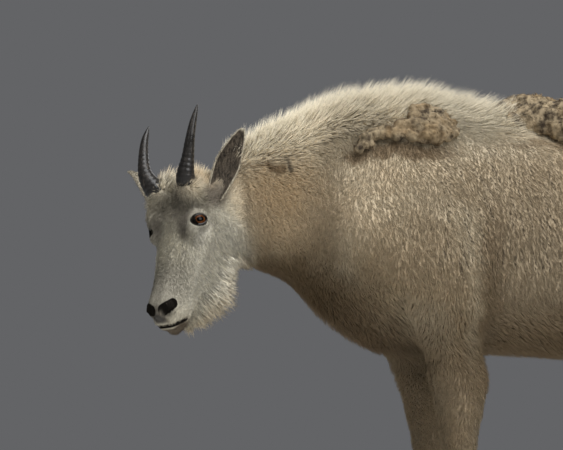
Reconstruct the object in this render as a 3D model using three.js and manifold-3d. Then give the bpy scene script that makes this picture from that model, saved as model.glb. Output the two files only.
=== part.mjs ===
// A mountain goat in its short summer coat, life size, standing with its head lowered and turned to its left.
// Patches of old winter wool still cling to one shoulder and to the back. Sizes are millimetres, +Z is up, the
// nose points towards -X and the goat's left side is -Y. Every surface lies at the outside of the coat.
import * as THREE from "three";
import { mergeVertices } from "three/addons/utils/BufferGeometryUtils.js";
import Module from "manifold-3d";

const wasm = await Module();
wasm.setup();

// Driving dimensions
const LEFT = -1;
const RIGHT = 1;
const GAP = 0.3; // left between neighbouring solids
const BOXY = 2.4; // power of the body's cross sections, 2 being an ellipse
const WITHERS = 828; // top of the hump under its crest of hair
const ELBOW = { x: -274, y: 116, z: 462 };
const KNEE = { x: -245, y: 106, z: 266 };
const FORE_FETLOCK = { x: -228, y: 102, z: 96 };
const FORE_HOOF = { x: -250, y: 102 };
const STIFLE = { x: 212, y: 124, z: 478 };
const HOCK = { x: 372, y: 102, z: 300 };
const HIND_FETLOCK = { x: 346, y: 100, z: 96 };
const HIND_HOOF = { x: 322, y: 100 };
const STRIDE = { fore: { [LEFT]: 0, [RIGHT]: 14 }, hind: { [LEFT]: 26, [RIGHT]: -22 } }; // feet set back
const HOOF = { length: 66, width: 27, height: 38, splay: 7, gap: 5 };
const HEAD_AT = new THREE.Vector3(-704, -39, 679); // the poll, between the ears
const HEAD_YAW = 42; // degrees to the goat's left
const HEAD_PITCH = 59; // degrees below level
const HEAD_ROLL = 5; // degrees, the left side up
const EYE = { u: 91, v: 40, w: -25, radius: 16 };
const HORN = { base: 16.5, tip: 0.9, ringDepth: 0.7 };
const EAR = { length: 136, width: 25, wall: 5 };
const CREST_CORE = 0.4; // share of the crest's height that is dense coat, under its locks
const LOCK_SUNK = 14; // how deep each root sits in the coat
const CREST_LOCK = { rows: 12, width: 64 };
const BEARD_LOCK = { rows: 6, width: 36, length: 46 };
const SHOULDER_WOOL = { from: [-404, 744], to: [-268, 792], clumps: 5, size: 27 };
const BACK_WOOL = { from: -116, to: 124, rows: 4, across: 3, size: 48 };

const rad = THREE.MathUtils.degToRad;
const vec = (x, y, z) => new THREE.Vector3(x, y, z);
const mix = THREE.MathUtils.lerp;

/** A seeded draw from 0 to 1, the same at every run. */
function draws(seed) {
  let state = seed;
  return () => {
    state = (state * 16807) % 2147483647;
    return state / 2147483647;
  };
}

/** A smooth curve through rows of numbers, read at any value of their first entry. */
function profile(rows) {
  const slope = (i, k) => {
    const low = rows[Math.max(i - 1, 0)];
    const high = rows[Math.min(i + 1, rows.length - 1)];
    return (high[k] - low[k]) / (high[0] - low[0]);
  };
  return (at) => {
    let i = 0;
    while (i < rows.length - 2 && at > rows[i + 1][0]) i++;
    const span = rows[i + 1][0] - rows[i][0];
    const t = THREE.MathUtils.clamp((at - rows[i][0]) / span, 0, 1);
    const ease = t * t * (3 - 2 * t);
    const leave = t * (1 - t) * (1 - t) * span;
    const arrive = t * t * (t - 1) * span;
    return rows[i].slice(1).map((a, k) => {
      const b = rows[i + 1][k + 1];
      return mix(a, b, ease) + leave * slope(i, k + 1) + arrive * slope(i + 1, k + 1);
    });
  };
}

// Fields: each gives roughly the distance from a point to a form, negative inside it

/** A tapered round limb from a to b, thinner from side to side by squash. */
function cone(a, b, ra, rb, squash = 1) {
  const along = vec(b.x - a.x, (b.y - a.y) / squash, b.z - a.z);
  const length2 = along.lengthSq();
  return (x, y, z) => {
    const px = x - a.x;
    const py = (y - a.y) / squash;
    const pz = z - a.z;
    const t = THREE.MathUtils.clamp((px * along.x + py * along.y + pz * along.z) / length2, 0, 1);
    const far = Math.hypot(px - t * along.x, py - t * along.y, pz - t * along.z);
    return far - mix(ra, rb, t);
  };
}

/** An ellipsoid. */
function ball(c, rx, ry, rz) {
  return (x, y, z) => {
    const [px, py, pz] = [(x - c.x) / rx, (y - c.y) / ry, (z - c.z) / rz];
    const near = Math.hypot(px, py, pz);
    return (near * (near - 1)) / Math.max(Math.hypot(px / rx, py / ry, pz / rz), 1e-6);
  };
}

/** A long body lofted through rows of [station, top, bottom, half width, middle, pinch of the top]. */
function loft(rows) {
  const at = profile(rows);
  const [first, last] = [rows[0][0], rows[rows.length - 1][0]];
  return (s, v, w) => {
    const [top, bottom, half, middle, pinch] = at(s);
    const centre = (top + bottom) / 2;
    const height = (top - bottom) / 2;
    const h = (w - centre) / height;
    const width = half * (1 - pinch * Math.max(h, 0));
    const spread = Math.pow(Math.abs((v - middle) / width) ** BOXY + Math.abs(h) ** BOXY, 1 / BOXY);
    const out = Math.hypot(v - middle, w - centre) * (1 - 1 / Math.max(spread, 1e-3));
    const deep = Math.min(half, height);
    const side = spread < 0.2 ? (spread - 1) * deep : Math.max(out, -deep);
    const beyond = Math.max(first - s, s - last, 0);
    return beyond > 0 ? Math.hypot(beyond, Math.max(side, 0)) + Math.min(side, 0) * 0.1 : side;
  };
}

/** Joins fields, with a fillet of about k where they meet. */
function blend(k, ...fields) {
  return (x, y, z) => {
    let d = fields[0](x, y, z);
    for (let i = 1; i < fields.length; i++) {
      const e = fields[i](x, y, z);
      const h = Math.max(k - Math.abs(d - e), 0) / k;
      d = Math.min(d, e) - (h * h * k) / 4;
    }
    return d;
  };
}

/** The surface where a field is zero inside a box, as a closed mesh of even triangles of about one cell. */
function shape(field, low, high, cell) {
  const step = vec(cell[0], cell[1], cell[2]);
  const count = ["x", "y", "z"].map((k) => Math.ceil((high[k] - low[k]) / step[k]) + 1);
  const [nx, ny] = count;
  const index = (i, j, k) => i + nx * (j + ny * k);
  const values = new Float32Array(count[0] * count[1] * count[2]);
  const least = 0.15 * cell[0];
  const outer = new Set();
  const place = (i, j, k) => vec(low.x + i * step.x, low.y + j * step.y, low.z + k * step.z);
  for (let k = 0; k < count[2]; k++)
    for (let j = 0; j < count[1]; j++)
      for (let i = 0; i < count[0]; i++) {
        const p = place(i, j, k);
        const edge = [i, j, k].some((n, axis) => n === 0 || n === count[axis] - 1);
        const d = field(p.x, p.y, p.z);
        values[index(i, j, k)] = edge ? Math.max(d, least) : Math.max(Math.abs(d), least) * (d < 0 ? -1 : 1);
        if (edge) outer.add(index(i, j, k));
      }
  const strides = [1, nx, nx * ny];
  const flipWeakest = (ring) => {
    const free = ring.filter((n) => !outer.has(n));
    const weakest = free.reduce((a, b) => (Math.abs(values[b]) < Math.abs(values[a]) ? b : a));
    values[weakest] = -values[weakest];
  };
  for (let pass = 0; pass < 6; pass++)
    for (let k = 0; k < count[2] - 1; k++)
      for (let j = 0; j < count[1] - 1; j++)
        for (let i = 0; i < count[0] - 1; i++)
          for (const [p, q] of [[0, 1], [1, 2], [2, 0]]) {
            const a = index(i, j, k);
            const ring = [a, a + strides[p], a + strides[p] + strides[q], a + strides[q]];
            const [first, second, third, fourth] = ring.map((n) => values[n] < 0);
            if (first === third && second === fourth && first !== second) flipWeakest(ring);
          }
  const corners = [0, 1, 2, 3, 4, 5, 6, 7].map((n) => [n & 1, (n >> 1) & 1, n >> 2]);
  const edges = corners.flatMap((a, n) =>
    [1, 2, 4].filter((bit) => !(n & bit)).map((bit) => [a, corners[n | bit]]),
  );
  const points = [];
  const vertexOf = new Map();
  const onSurface = (p) => {
    const e = 0.5;
    for (let pass = 0; pass < 3; pass++) {
      const d = field(p.x, p.y, p.z);
      const slope = vec(
        field(p.x + e, p.y, p.z) - field(p.x - e, p.y, p.z),
        field(p.x, p.y + e, p.z) - field(p.x, p.y - e, p.z),
        field(p.x, p.y, p.z + e) - field(p.x, p.y, p.z - e),
      ).divideScalar(2 * e);
      const push = THREE.MathUtils.clamp(d, -0.3 * cell[0], 0.3 * cell[0]);
      p.addScaledVector(slope, -push / Math.max(slope.lengthSq(), 0.2));
    }
    return p;
  };
  for (let k = 0; k < count[2] - 1; k++)
    for (let j = 0; j < count[1] - 1; j++)
      for (let i = 0; i < count[0] - 1; i++) {
        const middle = vec(0, 0, 0);
        let crossed = 0;
        for (const [a, b] of edges) {
          const va = values[index(i + a[0], j + a[1], k + a[2])];
          const vb = values[index(i + b[0], j + b[1], k + b[2])];
          if (va < 0 === vb < 0) continue;
          const pa = place(i + a[0], j + a[1], k + a[2]);
          middle.add(pa.lerp(place(i + b[0], j + b[1], k + b[2]), va / (va - vb)));
          crossed++;
        }
        if (!crossed) continue;
        middle.divideScalar(crossed);
        const inner = i > 0 && j > 0 && k > 0 && i < count[0] - 2 && j < count[1] - 2 && k < count[2] - 2;
        vertexOf.set(index(i, j, k), points.length / 3);
        points.push(...(inner ? onSurface(middle) : middle).toArray());
      }
  const faces = [];
  const apart = (a, b) =>
    Math.hypot(...[0, 1, 2].map((n) => points[3 * a + n] - points[3 * b + n]));
  const around = [
    [[0, 1, 0], [0, 0, 1]],
    [[0, 0, 1], [1, 0, 0]],
    [[1, 0, 0], [0, 1, 0]],
  ];
  for (let k = 0; k < count[2] - 1; k++)
    for (let j = 0; j < count[1] - 1; j++)
      for (let i = 0; i < count[0] - 1; i++)
        around.forEach(([p, q], axis) => {
          if ([i, j, k].some((n, other) => other !== axis && n === 0)) return;
          const ahead = [i + (axis === 0), j + (axis === 1), k + (axis === 2)];
          const inside = values[index(i, j, k)] < 0;
          if (inside === values[index(...ahead)] < 0) return;
          const at = (m, n) =>
            vertexOf.get(index(i - m * p[0] - n * q[0], j - m * p[1] - n * q[1], k - m * p[2] - n * q[2]));
          const ring = [at(1, 1), at(0, 1), at(0, 0), at(1, 0)];
          if (!inside) ring.reverse();
          const [a, b, c, d] = ring;
          if (apart(a, c) <= apart(b, d)) faces.push(a, b, c, a, c, d);
          else faces.push(a, b, d, b, c, d);
        });
  const geometry = new THREE.BufferGeometry();
  geometry.setAttribute("position", new THREE.Float32BufferAttribute(points, 3));
  geometry.setIndex(faces);
  return geometry;
}

// Solids

/** A closed solid from a three.js geometry, without faces that have no area or fold onto another. */
function solid(geometry, matrix = new THREE.Matrix4()) {
  const moved = geometry.clone().applyMatrix4(matrix);
  moved.deleteAttribute("normal");
  moved.deleteAttribute("uv");
  const merged = mergeVertices(moved, 1e-3);
  const faces = new Map();
  const index = merged.index.array;
  for (let i = 0; i < index.length; i += 3) {
    const face = [index[i], index[i + 1], index[i + 2]];
    const key = face.toSorted((a, b) => a - b).join();
    if (new Set(face).size < 3) continue;
    if (faces.has(key)) faces.delete(key);
    else faces.set(key, face);
  }
  const vertProperties = merged.attributes.position.array;
  const triVerts = new Uint32Array([...faces.values()].flat());
  return new wasm.Manifold(new wasm.Mesh({ numProp: 3, vertProperties, triVerts }));
}

/** The surface of a solid as a three.js geometry, its corners on a grid so fine that none is left doubled. */
function surface(whole, shift) {
  const { vertProperties, triVerts } = whole.getMesh();
  const grid = 50;
  const snapped = vertProperties.map((value, i) => Math.round((value + shift[i % 3]) * grid) / grid);
  const geometry = new THREE.BufferGeometry();
  geometry.setAttribute("position", new THREE.BufferAttribute(snapped, 3));
  return geometry.setIndex(new THREE.BufferAttribute(triVerts.slice(), 1));
}

/** Joins solids into one. */
const join = (first, ...rest) => rest.reduce((whole, piece) => whole.add(piece), first);

/** Keeps the largest closed body of a solid. */
function largest(whole) {
  return whole.decompose().reduce((best, piece) => (piece.volume() > best.volume() ? piece : best));
}

/** The half of space in front of a plane, as a large box. */
function ahead(point, normal, reach = 1500) {
  const box = new THREE.BoxGeometry(reach, reach, reach).translate(0, 0, reach / 2);
  const turn = new THREE.Quaternion().setFromUnitVectors(vec(0, 0, 1), normal.clone().normalize());
  return solid(box, new THREE.Matrix4().compose(point, turn, vec(1, 1, 1)));
}

/** Cuts a solid at a plane into what lies ahead of it and what lies behind it, with a gap between them. */
function part(whole, point, normal) {
  const behind = point.clone().addScaledVector(normal.clone().normalize(), -GAP);
  return [whole.intersect(ahead(point, normal)), whole.subtract(ahead(behind, normal))];
}

/** A closed tube swept along a curve, its half widths given by size(t) as [across, up], grown all round. */
function sweep(curve, size, sides, steps, up, grow = 0) {
  const points = [];
  const faces = [];
  for (let i = 0; i <= steps; i++) {
    const t = i / steps;
    const tangent = curve.getTangent(t);
    const beyond = ((i === steps) - (i === 0)) * grow;
    const centre = curve.getPoint(t).addScaledVector(tangent, beyond);
    const across = up.clone().cross(tangent).normalize();
    const over = tangent.clone().cross(across);
    const [a, b] = size(t).map((half) => half + grow);
    for (let s = 0; s < sides; s++) {
      const turn = (2 * Math.PI * s) / sides;
      const p = centre.clone().addScaledVector(across, a * Math.cos(turn));
      points.push(...p.addScaledVector(over, b * Math.sin(turn)).toArray());
    }
  }
  for (let i = 0; i < steps; i++)
    for (let s = 0; s < sides; s++) {
      const [a, b] = [i * sides + s, i * sides + ((s + 1) % sides)];
      faces.push(a, b, b + sides, a, b + sides, a + sides);
    }
  const ends = [0, 1].map((t) => {
    const beyond = (2 * t - 1) * grow;
    points.push(...curve.getPoint(t).addScaledVector(curve.getTangent(t), beyond).toArray());
    return points.length / 3 - 1;
  });
  for (let s = 0; s < sides; s++) {
    const next = (s + 1) % sides;
    faces.push(ends[0], next, s);
    faces.push(ends[1], steps * sides + s, steps * sides + next);
  }
  const geometry = new THREE.BufferGeometry();
  geometry.setAttribute("position", new THREE.Float32BufferAttribute(points, 3));
  return geometry.setIndex(faces);
}

/** A tapered lock of hair, flat to its side, that leaves its sunk root along rise and bends to its lie. */
function lock(root, rise, lie, side, length, width) {
  const start = root.clone().addScaledVector(rise, -LOCK_SUNK);
  const middle = root.clone().addScaledVector(rise, 0.5 * length);
  const tip = root.clone().addScaledVector(rise, 0.92 * length).addScaledVector(lie, 0.4 * length);
  const curve = new THREE.QuadraticBezierCurve3(start, middle, tip);
  const size = (t) => {
    const half = (width / 2) * Math.max(1 - t * t, 0.08);
    return [half, Math.max(0.42 * half, 1)];
  };
  return solid(sweep(curve, size, 4, 3, side));
}

/** A rounded clump of matted wool, flattest along out, spun and tilted by a seeded draw. */
function clump(middle, out, size, draw) {
  const turn = new THREE.Quaternion().setFromUnitVectors(vec(0, 0, 1), out);
  const tilt = new THREE.Euler(draw() - 0.5, draw() - 0.5, 2 * draw() * Math.PI);
  turn.multiply(new THREE.Quaternion().setFromEuler(tilt));
  const scale = vec(1.2, 0.85 + 0.3 * draw(), 0.66).multiplyScalar(size);
  return solid(new THREE.SphereGeometry(1, 7, 4), new THREE.Matrix4().compose(middle, turn, scale));
}

/** The point where a ray from inside a field first leaves it, and the way out from the surface there. */
function emerge(field, from, way) {
  const step = way.clone().normalize();
  const p = from.clone();
  for (let n = 0; n < 400 && field(p.x, p.y, p.z) < 0; n++) p.addScaledVector(step, 1.5);
  const out = ["x", "y", "z"].map((k) => {
    const q = p.clone();
    q[k] += 2;
    return field(q.x, q.y, q.z) - field(p.x, p.y, p.z);
  });
  return { root: p, out: vec(...out).normalize() };
}

// The body's fields

/** How far the upright hair of neck and hump stands above the back, along X. */
const crestRise = profile([
  [-700, 18],
  [-640, 28],
  [-560, 29],
  [-440, 30],
  [-290, 29],
  [-190, 32],
  [-100, 18],
  [0, 3],
  [460, 0],
]);

/** The trunk from poll to rump, as stations along X. */
const trunk = loft(
  [
    [-680, 668, 588, 28, -30, 0.1],
    [-640, 698, 556, 42, -21, 0.15],
    [-585, 738, 522, 62, -13, 0.2],
    [-510, 776, 492, 88, -3, 0.26],
    [-440, 806, 430, 118, 0, 0.32],
    [-360, 821, 384, 144, 0, 0.38],
    [-290, WITHERS, 374, 154, 0, 0.42],
    [-200, 814, 382, 164, 0, 0.38],
    [-100, 792, 380, 176, 0, 0.24],
    [20, 776, 376, 184, 0, 0.14],
    [140, 774, 386, 178, 0, 0.12],
    [250, 772, 424, 158, 0, 0.14],
    [350, 746, 500, 128, 0, 0.16],
    [420, 698, 560, 88, 0, 0.1],
    [452, 650, 606, 34, 0, 0],
  ].map(([x, top, ...rest]) => [x, top + CREST_CORE * crestRise(x)[0], ...rest]),
);

const beside = (point, side, dx = 0, dz = 0, dy = 0) => ({
  x: point.x + dx,
  y: side * (point.y + dy),
  z: point.z + dz,
});

/** One foreleg from the shoulder blade to the coronet. */
function foreleg(side) {
  const back = STRIDE.fore[side];
  const shoulder = { x: -402, y: side * 96, z: 570 };
  const blade = { x: -318, y: side * 66, z: 740 };
  const knee = beside(KNEE, side, back);
  const fetlock = beside(FORE_FETLOCK, side, back);
  const crown = { x: FORE_HOOF.x + back + 4, y: side * FORE_HOOF.y, z: 40 };
  return blend(
    30,
    cone(blade, shoulder, 52, 70, 0.9),
    cone({ x: -300, y: side * 92, z: 640 }, beside(ELBOW, side, 4), 74, 60, 0.85),
    cone(shoulder, beside(ELBOW, side), 60, 54, 0.85),
    cone(beside(ELBOW, side, 2, -12), { ...knee, z: knee.z + 60 }, 62, 50, 0.78),
    cone({ ...knee, z: knee.z + 60 }, { ...knee, z: knee.z + 12 }, 49, 38, 0.8),
    cone({ ...knee, z: knee.z + 12 }, { ...knee, z: knee.z - 34 }, 35, 26, 0.95),
    cone({ ...knee, z: knee.z - 34 }, { ...fetlock, z: fetlock.z + 24 }, 25, 22, 1),
    cone(fetlock, crown, 28, 30, 1.08),
  );
}

/** One hind leg from the hip to the coronet. */
function hindleg(side) {
  const back = STRIDE.hind[side];
  const stifle = beside(STIFLE, side, back * 0.3);
  const hock = beside(HOCK, side, back * 0.8);
  const heel = { x: hock.x + 20, y: hock.y, z: hock.z + 24 };
  const fetlock = beside(HIND_FETLOCK, side, back);
  const crown = { x: HIND_HOOF.x + back + 4, y: side * HIND_HOOF.y, z: 40 };
  return blend(
    30,
    cone({ x: 318, y: side * 64, z: 664 }, { x: stifle.x + 48, y: side * 106, z: 530 }, 96, 80, 0.78),
    cone({ x: 384, y: side * 58, z: 640 }, { x: 372 + back * 0.4, y: side * 86, z: 480 }, 62, 50, 0.85),
    cone({ x: 252, y: side * 100, z: 590 }, stifle, 74, 52, 0.8),
    cone(stifle, { x: hock.x - 34, y: hock.y, z: hock.z + 52 }, 56, 40, 0.85),
    cone({ x: 362 + back * 0.5, y: side * 92, z: 470 }, heel, 46, 21, 0.8),
    cone({ x: hock.x - 34, y: hock.y, z: hock.z + 52 }, hock, 38, 31, 0.9),
    cone(hock, { x: hock.x - 5, y: hock.y, z: hock.z - 50 }, 30, 25, 0.95),
    cone({ x: hock.x - 5, y: hock.y, z: hock.z - 50 }, { ...fetlock, z: fetlock.z + 24 }, 25, 22, 1),
    cone(fetlock, crown, 28, 30, 1.08),
  );
}

const headFrame = new THREE.Matrix4()
  .makeRotationZ(Math.PI + rad(HEAD_YAW))
  .multiply(new THREE.Matrix4().makeRotationY(rad(HEAD_PITCH)))
  .multiply(new THREE.Matrix4().makeRotationX(rad(HEAD_ROLL)))
  .setPosition(HEAD_AT);
const onHead = (u, v, w) => vec(u, v, w).applyMatrix4(headFrame);
const alongHead = (u, v, w) => vec(u, v, w).transformDirection(headFrame);

/** The head in its own frame: u runs from poll to nose, v to the goat's left, w out of the forehead. */
const face = (() => {
  const p = (u, v, w) => ({ x: u, y: v, z: w });
  const pair = (make) => [make(1), make(-1)];
  const skull = loft([
    [-24, -28, -84, 38, 0, 0],
    [15, 0, -90, 49, 0, 0],
    [55, 9, -92, 53, 0, 0.06],
    [95, 3, -90, 51, 0, 0.12],
    [135, -14, -84, 43, 0, 0.16],
    [172, -23, -83, 35, 0, 0.14],
    [205, -29, -85, 30, 0, 0.1],
    [234, -34, -87, 28, 0, 0.06],
    [256, -42, -88, 24, 0, 0],
    [270, -56, -84, 15, 0, 0],
  ]);
  const jaw = loft([
    [-10, -50, -128, 40, 0, 0],
    [30, -50, -150, 47, 0, 0],
    [70, -52, -156, 47, 0, 0],
    [110, -56, -150, 42, 0, 0],
    [150, -60, -138, 36, 0, 0],
    [190, -66, -127, 30, 0, 0],
    [228, -72, -122, 26, 0, 0],
    [252, -84, -121, 21, 0, 0],
    [265, -96, -114, 10, 0, 0],
  ]);
  const beard = [
    cone(p(40, 0, -134), p(100, 0, -134), 36, 34, 0.9),
    cone(p(100, 0, -134), p(150, 0, -142), 34, 28, 0.8),
    cone(p(150, 0, -142), p(186, 0, -138), 28, 24, 0.8),
    cone(p(186, 0, -138), p(228, 0, -118), 24, 18, 0.9),
  ];
  return blend(
    16,
    blend(26, blend(44, skull, jaw), ...beard),
    ...pair((s) => ball(p(EYE.u + 1, s * (EYE.v - 2), EYE.w + 3), 33, 18, 21)),
    ...pair((s) => cone(p(104, s * 42, -50), p(186, s * 27, -68), 14, 11)),
    ...pair((s) => ball(p(54, s * 33, 4), 27, 20, 19)),
    ...pair((s) => ball(p(243, s * 15, -54), 17, 11, 14)),
    ...pair((s) => ball(p(250, s * 12, -78), 23, 17, 12)),
  );
})();

const toHead = headFrame.clone().invert().elements;
function head(x, y, z) {
  const row = (n) => toHead[n] * x + toHead[n + 4] * y + toHead[n + 8] * z + toHead[n + 12];
  return face(row(0), row(1), row(2));
}

const torsoField = blend(55, trunk, foreleg(LEFT), foreleg(RIGHT), hindleg(LEFT), hindleg(RIGHT));
const bareField = blend(34, torsoField, head);

const woolBed = (region, thick) => (x, y, z) => Math.max(bareField(x, y, z) - thick, region(x, y, z));
const bodyField = blend(
  14,
  bareField,
  woolBed(cone({ x: -400, y: -120, z: 738 }, { x: -290, y: -120, z: 784 }, 30, 34, 2), 9),
  woolBed(ball({ x: 4, y: -16, z: 790 }, 130, 112, 62), 22),
);

// The cutters that divide the body

const nape = { at: vec(-612, -34, 640), normal: vec(0.93, 0.3, 0.2) };
const collar = { at: vec(-474, 0, 650), normal: vec(0.98, 0, -0.19) };
const girth = { at: vec(-150, 0, 500), normal: vec(1, 0, 0) };
const loin = { at: vec(168, 0, 500), normal: vec(1, 0, 0) };
const mouthLine = { at: onHead(258, 0, -90), normal: alongHead(-0.09, 0, 1) };

/** A round-topped block that takes one leg out of the trunk. */
function legRegion(side, x, inner, along, top, grow = 0) {
  const depth = 300;
  const half = along + grow;
  const arch = new THREE.Shape();
  arch.moveTo(-half, 0);
  arch.lineTo(half, 0);
  arch.lineTo(half, top - along);
  arch.absellipse(0, top - along, half, half, 0, Math.PI, false);
  arch.closePath();
  const block = new THREE.ExtrudeGeometry(arch, { depth, bevelEnabled: false, curveSegments: 8 });
  const nearest = side * (inner - grow);
  return solid(block.rotateX(Math.PI / 2).translate(x, side === LEFT ? nearest : nearest + depth, 0));
}

const shoulderRegion = (side, grow) => legRegion(side, -288, 62, 112, 692, grow);
const thighRegion = (side, grow) => legRegion(side, 318, 30, 146, 704, grow);

/** Cuts one leg at its joints into named lengths, from the top down. */
function legPieces(whole, cuts) {
  let rest = whole;
  for (const [name, at, normal] of cuts) {
    const [over, under] = part(rest, at, normal);
    put(name, over);
    rest = under;
  }
}

const solids = new Map();
const put = (name, whole) => solids.set(name, largest(whole));

// Small parts

/** One half of a cloven hoof, flat on the floor, its wall leaning back from the toe. */
function claw(x, y, z, out) {
  const rings = [
    [0, 1, 1, 0],
    [0.35, 0.97, 1.04, 0.03],
    [1.5, 0.74, 0.86, 0.2],
  ];
  const around = 10;
  const points = [];
  const faces = [];
  const halfLength = HOOF.length / 2;
  const halfWidth = HOOF.width / 2;
  for (const [up, long, wide, back] of rings)
    for (let n = 0; n < around; n++) {
      const turn = (2 * Math.PI * n) / around;
      const toe = Math.max(-Math.cos(turn), 0);
      const across = Math.sin(turn) * halfWidth * wide * (1 - 0.3 * toe * toe);
      points.push(Math.cos(turn) * halfLength * long + back * halfLength, across, up * HOOF.height);
    }
  for (let r = 0; r < rings.length - 1; r++)
    for (let n = 0; n < around; n++) {
      const [a, b] = [r * around + n, r * around + ((n + 1) % around)];
      faces.push(a, b, b + around, a, b + around, a + around);
    }
  const top = (rings.length - 1) * around;
  for (let n = 1; n < around - 1; n++) {
    faces.push(0, n + 1, n);
    faces.push(top, top + n, top + n + 1);
  }
  const geometry = new THREE.BufferGeometry();
  geometry.setAttribute("position", new THREE.Float32BufferAttribute(points, 3));
  geometry.setIndex(faces);
  const offset = out * (HOOF.gap + HOOF.width) * 0.5;
  geometry.rotateZ(-out * rad(HOOF.splay)).translate(x, y + offset, z);
  return solid(geometry);
}

/** A small blunt dewclaw behind the fetlock. */
function dewclaw(x, y, z, out, grow = 0) {
  const path = new THREE.CatmullRomCurve3([
    vec(x - 10, y + out * 11, z + 8),
    vec(x + 3, y + out * 12, z + 2),
    vec(x + 13, y + out * 13, z - 8),
  ]);
  const size = (t) => [mix(9, 6, t), mix(8, 5.5, t)];
  return solid(sweep(path, size, 5, 2, vec(0, 1, 0), grow));
}

/** One horn, rising from the forehead and sweeping back; the grown copy cuts its socket. */
function horn(s, grow = 0) {
  const path = new THREE.CatmullRomCurve3(
    [[66, 29, -8], [53, 36, 22], [22, 45, 54], [-20, 51, 73], [-64, 55, 80]].map(([u, v, w]) =>
      onHead(u, s * v, w),
    ),
  );
  const steps = 18;
  const size = (t) => {
    const ring = t < 0.62 && Math.round(t * steps) % 2 ? HORN.ringDepth * (1 - t) : 0;
    const radius = mix(HORN.base, HORN.tip, Math.pow(t, 0.92)) + ring;
    return [radius * 0.96, radius * 1.04];
  };
  return solid(sweep(path, size, 9, steps, alongHead(0, 1, 0), grow));
}

/** A pointed ear cupped about its opening, its root sunk in the head. */
function ear(s, along, opens, grow = 0) {
  const root = onHead(34, s * 42, -38);
  const outward = along.clone().normalize();
  const front = opens.clone().addScaledVector(outward, -opens.dot(outward)).normalize();
  const across = outward.clone().cross(front);
  const [rows, columns] = [7, 6];
  const shapeAt = profile([
    [0, 13, 3.4],
    [0.24, 19, 2.9],
    [0.5, EAR.width, 2.2],
    [0.75, EAR.width * 0.76, 1.8],
    [0.91, EAR.width * 0.42, 1.6],
    [1, 2.2, 1.5],
  ]);
  const points = [];
  for (const back of [false, true])
    for (let i = 0; i <= rows; i++)
      for (let j = 0; j <= columns; j++) {
        const t = i / rows;
        const [half, wrap] = shapeAt(t);
        const curl = half / Math.sin(Math.min(wrap, 3.1) / 2);
        const turn = (j / columns - 0.5) * (wrap + (2 * grow) / curl);
        const radius = curl + (back ? EAR.wall * mix(1, 0.45, t) + grow : -grow);
        const place = root.clone().addScaledVector(outward, t * (EAR.length + 2 * grow) - grow);
        place.addScaledVector(across, radius * Math.sin(turn));
        place.addScaledVector(front, curl * 0.55 - radius * Math.cos(turn) - 7 * Math.sin(Math.PI * t));
        points.push(...place.toArray());
      }
  const wide = columns + 1;
  const sheet = wide * (rows + 1);
  const faces = [];
  const quad = (a, b, c, d) => faces.push(a, b, c, a, c, d);
  for (let i = 0; i < rows; i++)
    for (let j = 0; j < columns; j++) {
      const a = i * wide + j;
      quad(a, a + 1, a + wide + 1, a + wide);
      quad(sheet + a, sheet + a + wide, sheet + a + wide + 1, sheet + a + 1);
    }
  for (let i = 0; i < rows; i++) {
    const [a, b] = [i * wide, i * wide + columns];
    quad(a, a + wide, sheet + a + wide, sheet + a);
    quad(b + wide, b, sheet + b, sheet + b + wide);
  }
  for (let j = 0; j < columns; j++) {
    const top = rows * wide + j;
    quad(j + 1, j, sheet + j, sheet + j + 1);
    quad(top, top + 1, sheet + top + 1, sheet + top);
  }
  const geometry = new THREE.BufferGeometry();
  geometry.setAttribute("position", new THREE.Float32BufferAttribute(points, 3));
  return solid(geometry.setIndex(faces));
}

/** The eyeball, or the larger ball that makes its socket or its lids. */
function eyeBall(s, radius) {
  const middle = onHead(EYE.u, s * EYE.v, EYE.w);
  return solid(new THREE.SphereGeometry(radius, 12, 8), new THREE.Matrix4().setPosition(middle));
}

/** The almond opening between the lids, cut outward from the middle of the eye. */
function lidOpening(s) {
  const almond = new THREE.Shape();
  almond.moveTo(-EYE.radius * 0.92, -2);
  almond.quadraticCurveTo(-3, EYE.radius * 1.12, EYE.radius * 0.92, 1);
  almond.quadraticCurveTo(2, -EYE.radius * 0.86, -EYE.radius * 0.92, -2);
  const prism = new THREE.ExtrudeGeometry(almond, { depth: 40, bevelEnabled: false, curveSegments: 6 });
  const out = alongHead(0.32, s * 0.82, 0.46).normalize();
  const corner = alongHead(0.72, 0, 0.69);
  const side = corner.addScaledVector(out, -corner.dot(out)).normalize();
  const turn = new THREE.Matrix4().makeBasis(side, out.clone().cross(side), out);
  return solid(prism, turn.setPosition(onHead(EYE.u, s * EYE.v, EYE.w)));
}

/** An ellipsoid set in the head, its length along u tipped down by a slope, as a cutter. */
function hollow(middle, radii, slope) {
  const long = alongHead(1, 0, -slope).normalize();
  const aside = alongHead(0, 1, 0);
  const turn = new THREE.Matrix4().makeBasis(long, aside, long.clone().cross(aside));
  return solid(new THREE.SphereGeometry(1, 8, 6).scale(...radii), turn.setPosition(middle));
}

const nostril = (s) => hollow(onHead(257, s * 19, -56), [13, 10, 6], 0.6);
const lipGap = hollow(onHead(262, 0, -91), [44, 34, 1.6], -0.09);

// The hair that stands past the dense coat, each piece rooted in the coat below it

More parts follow.
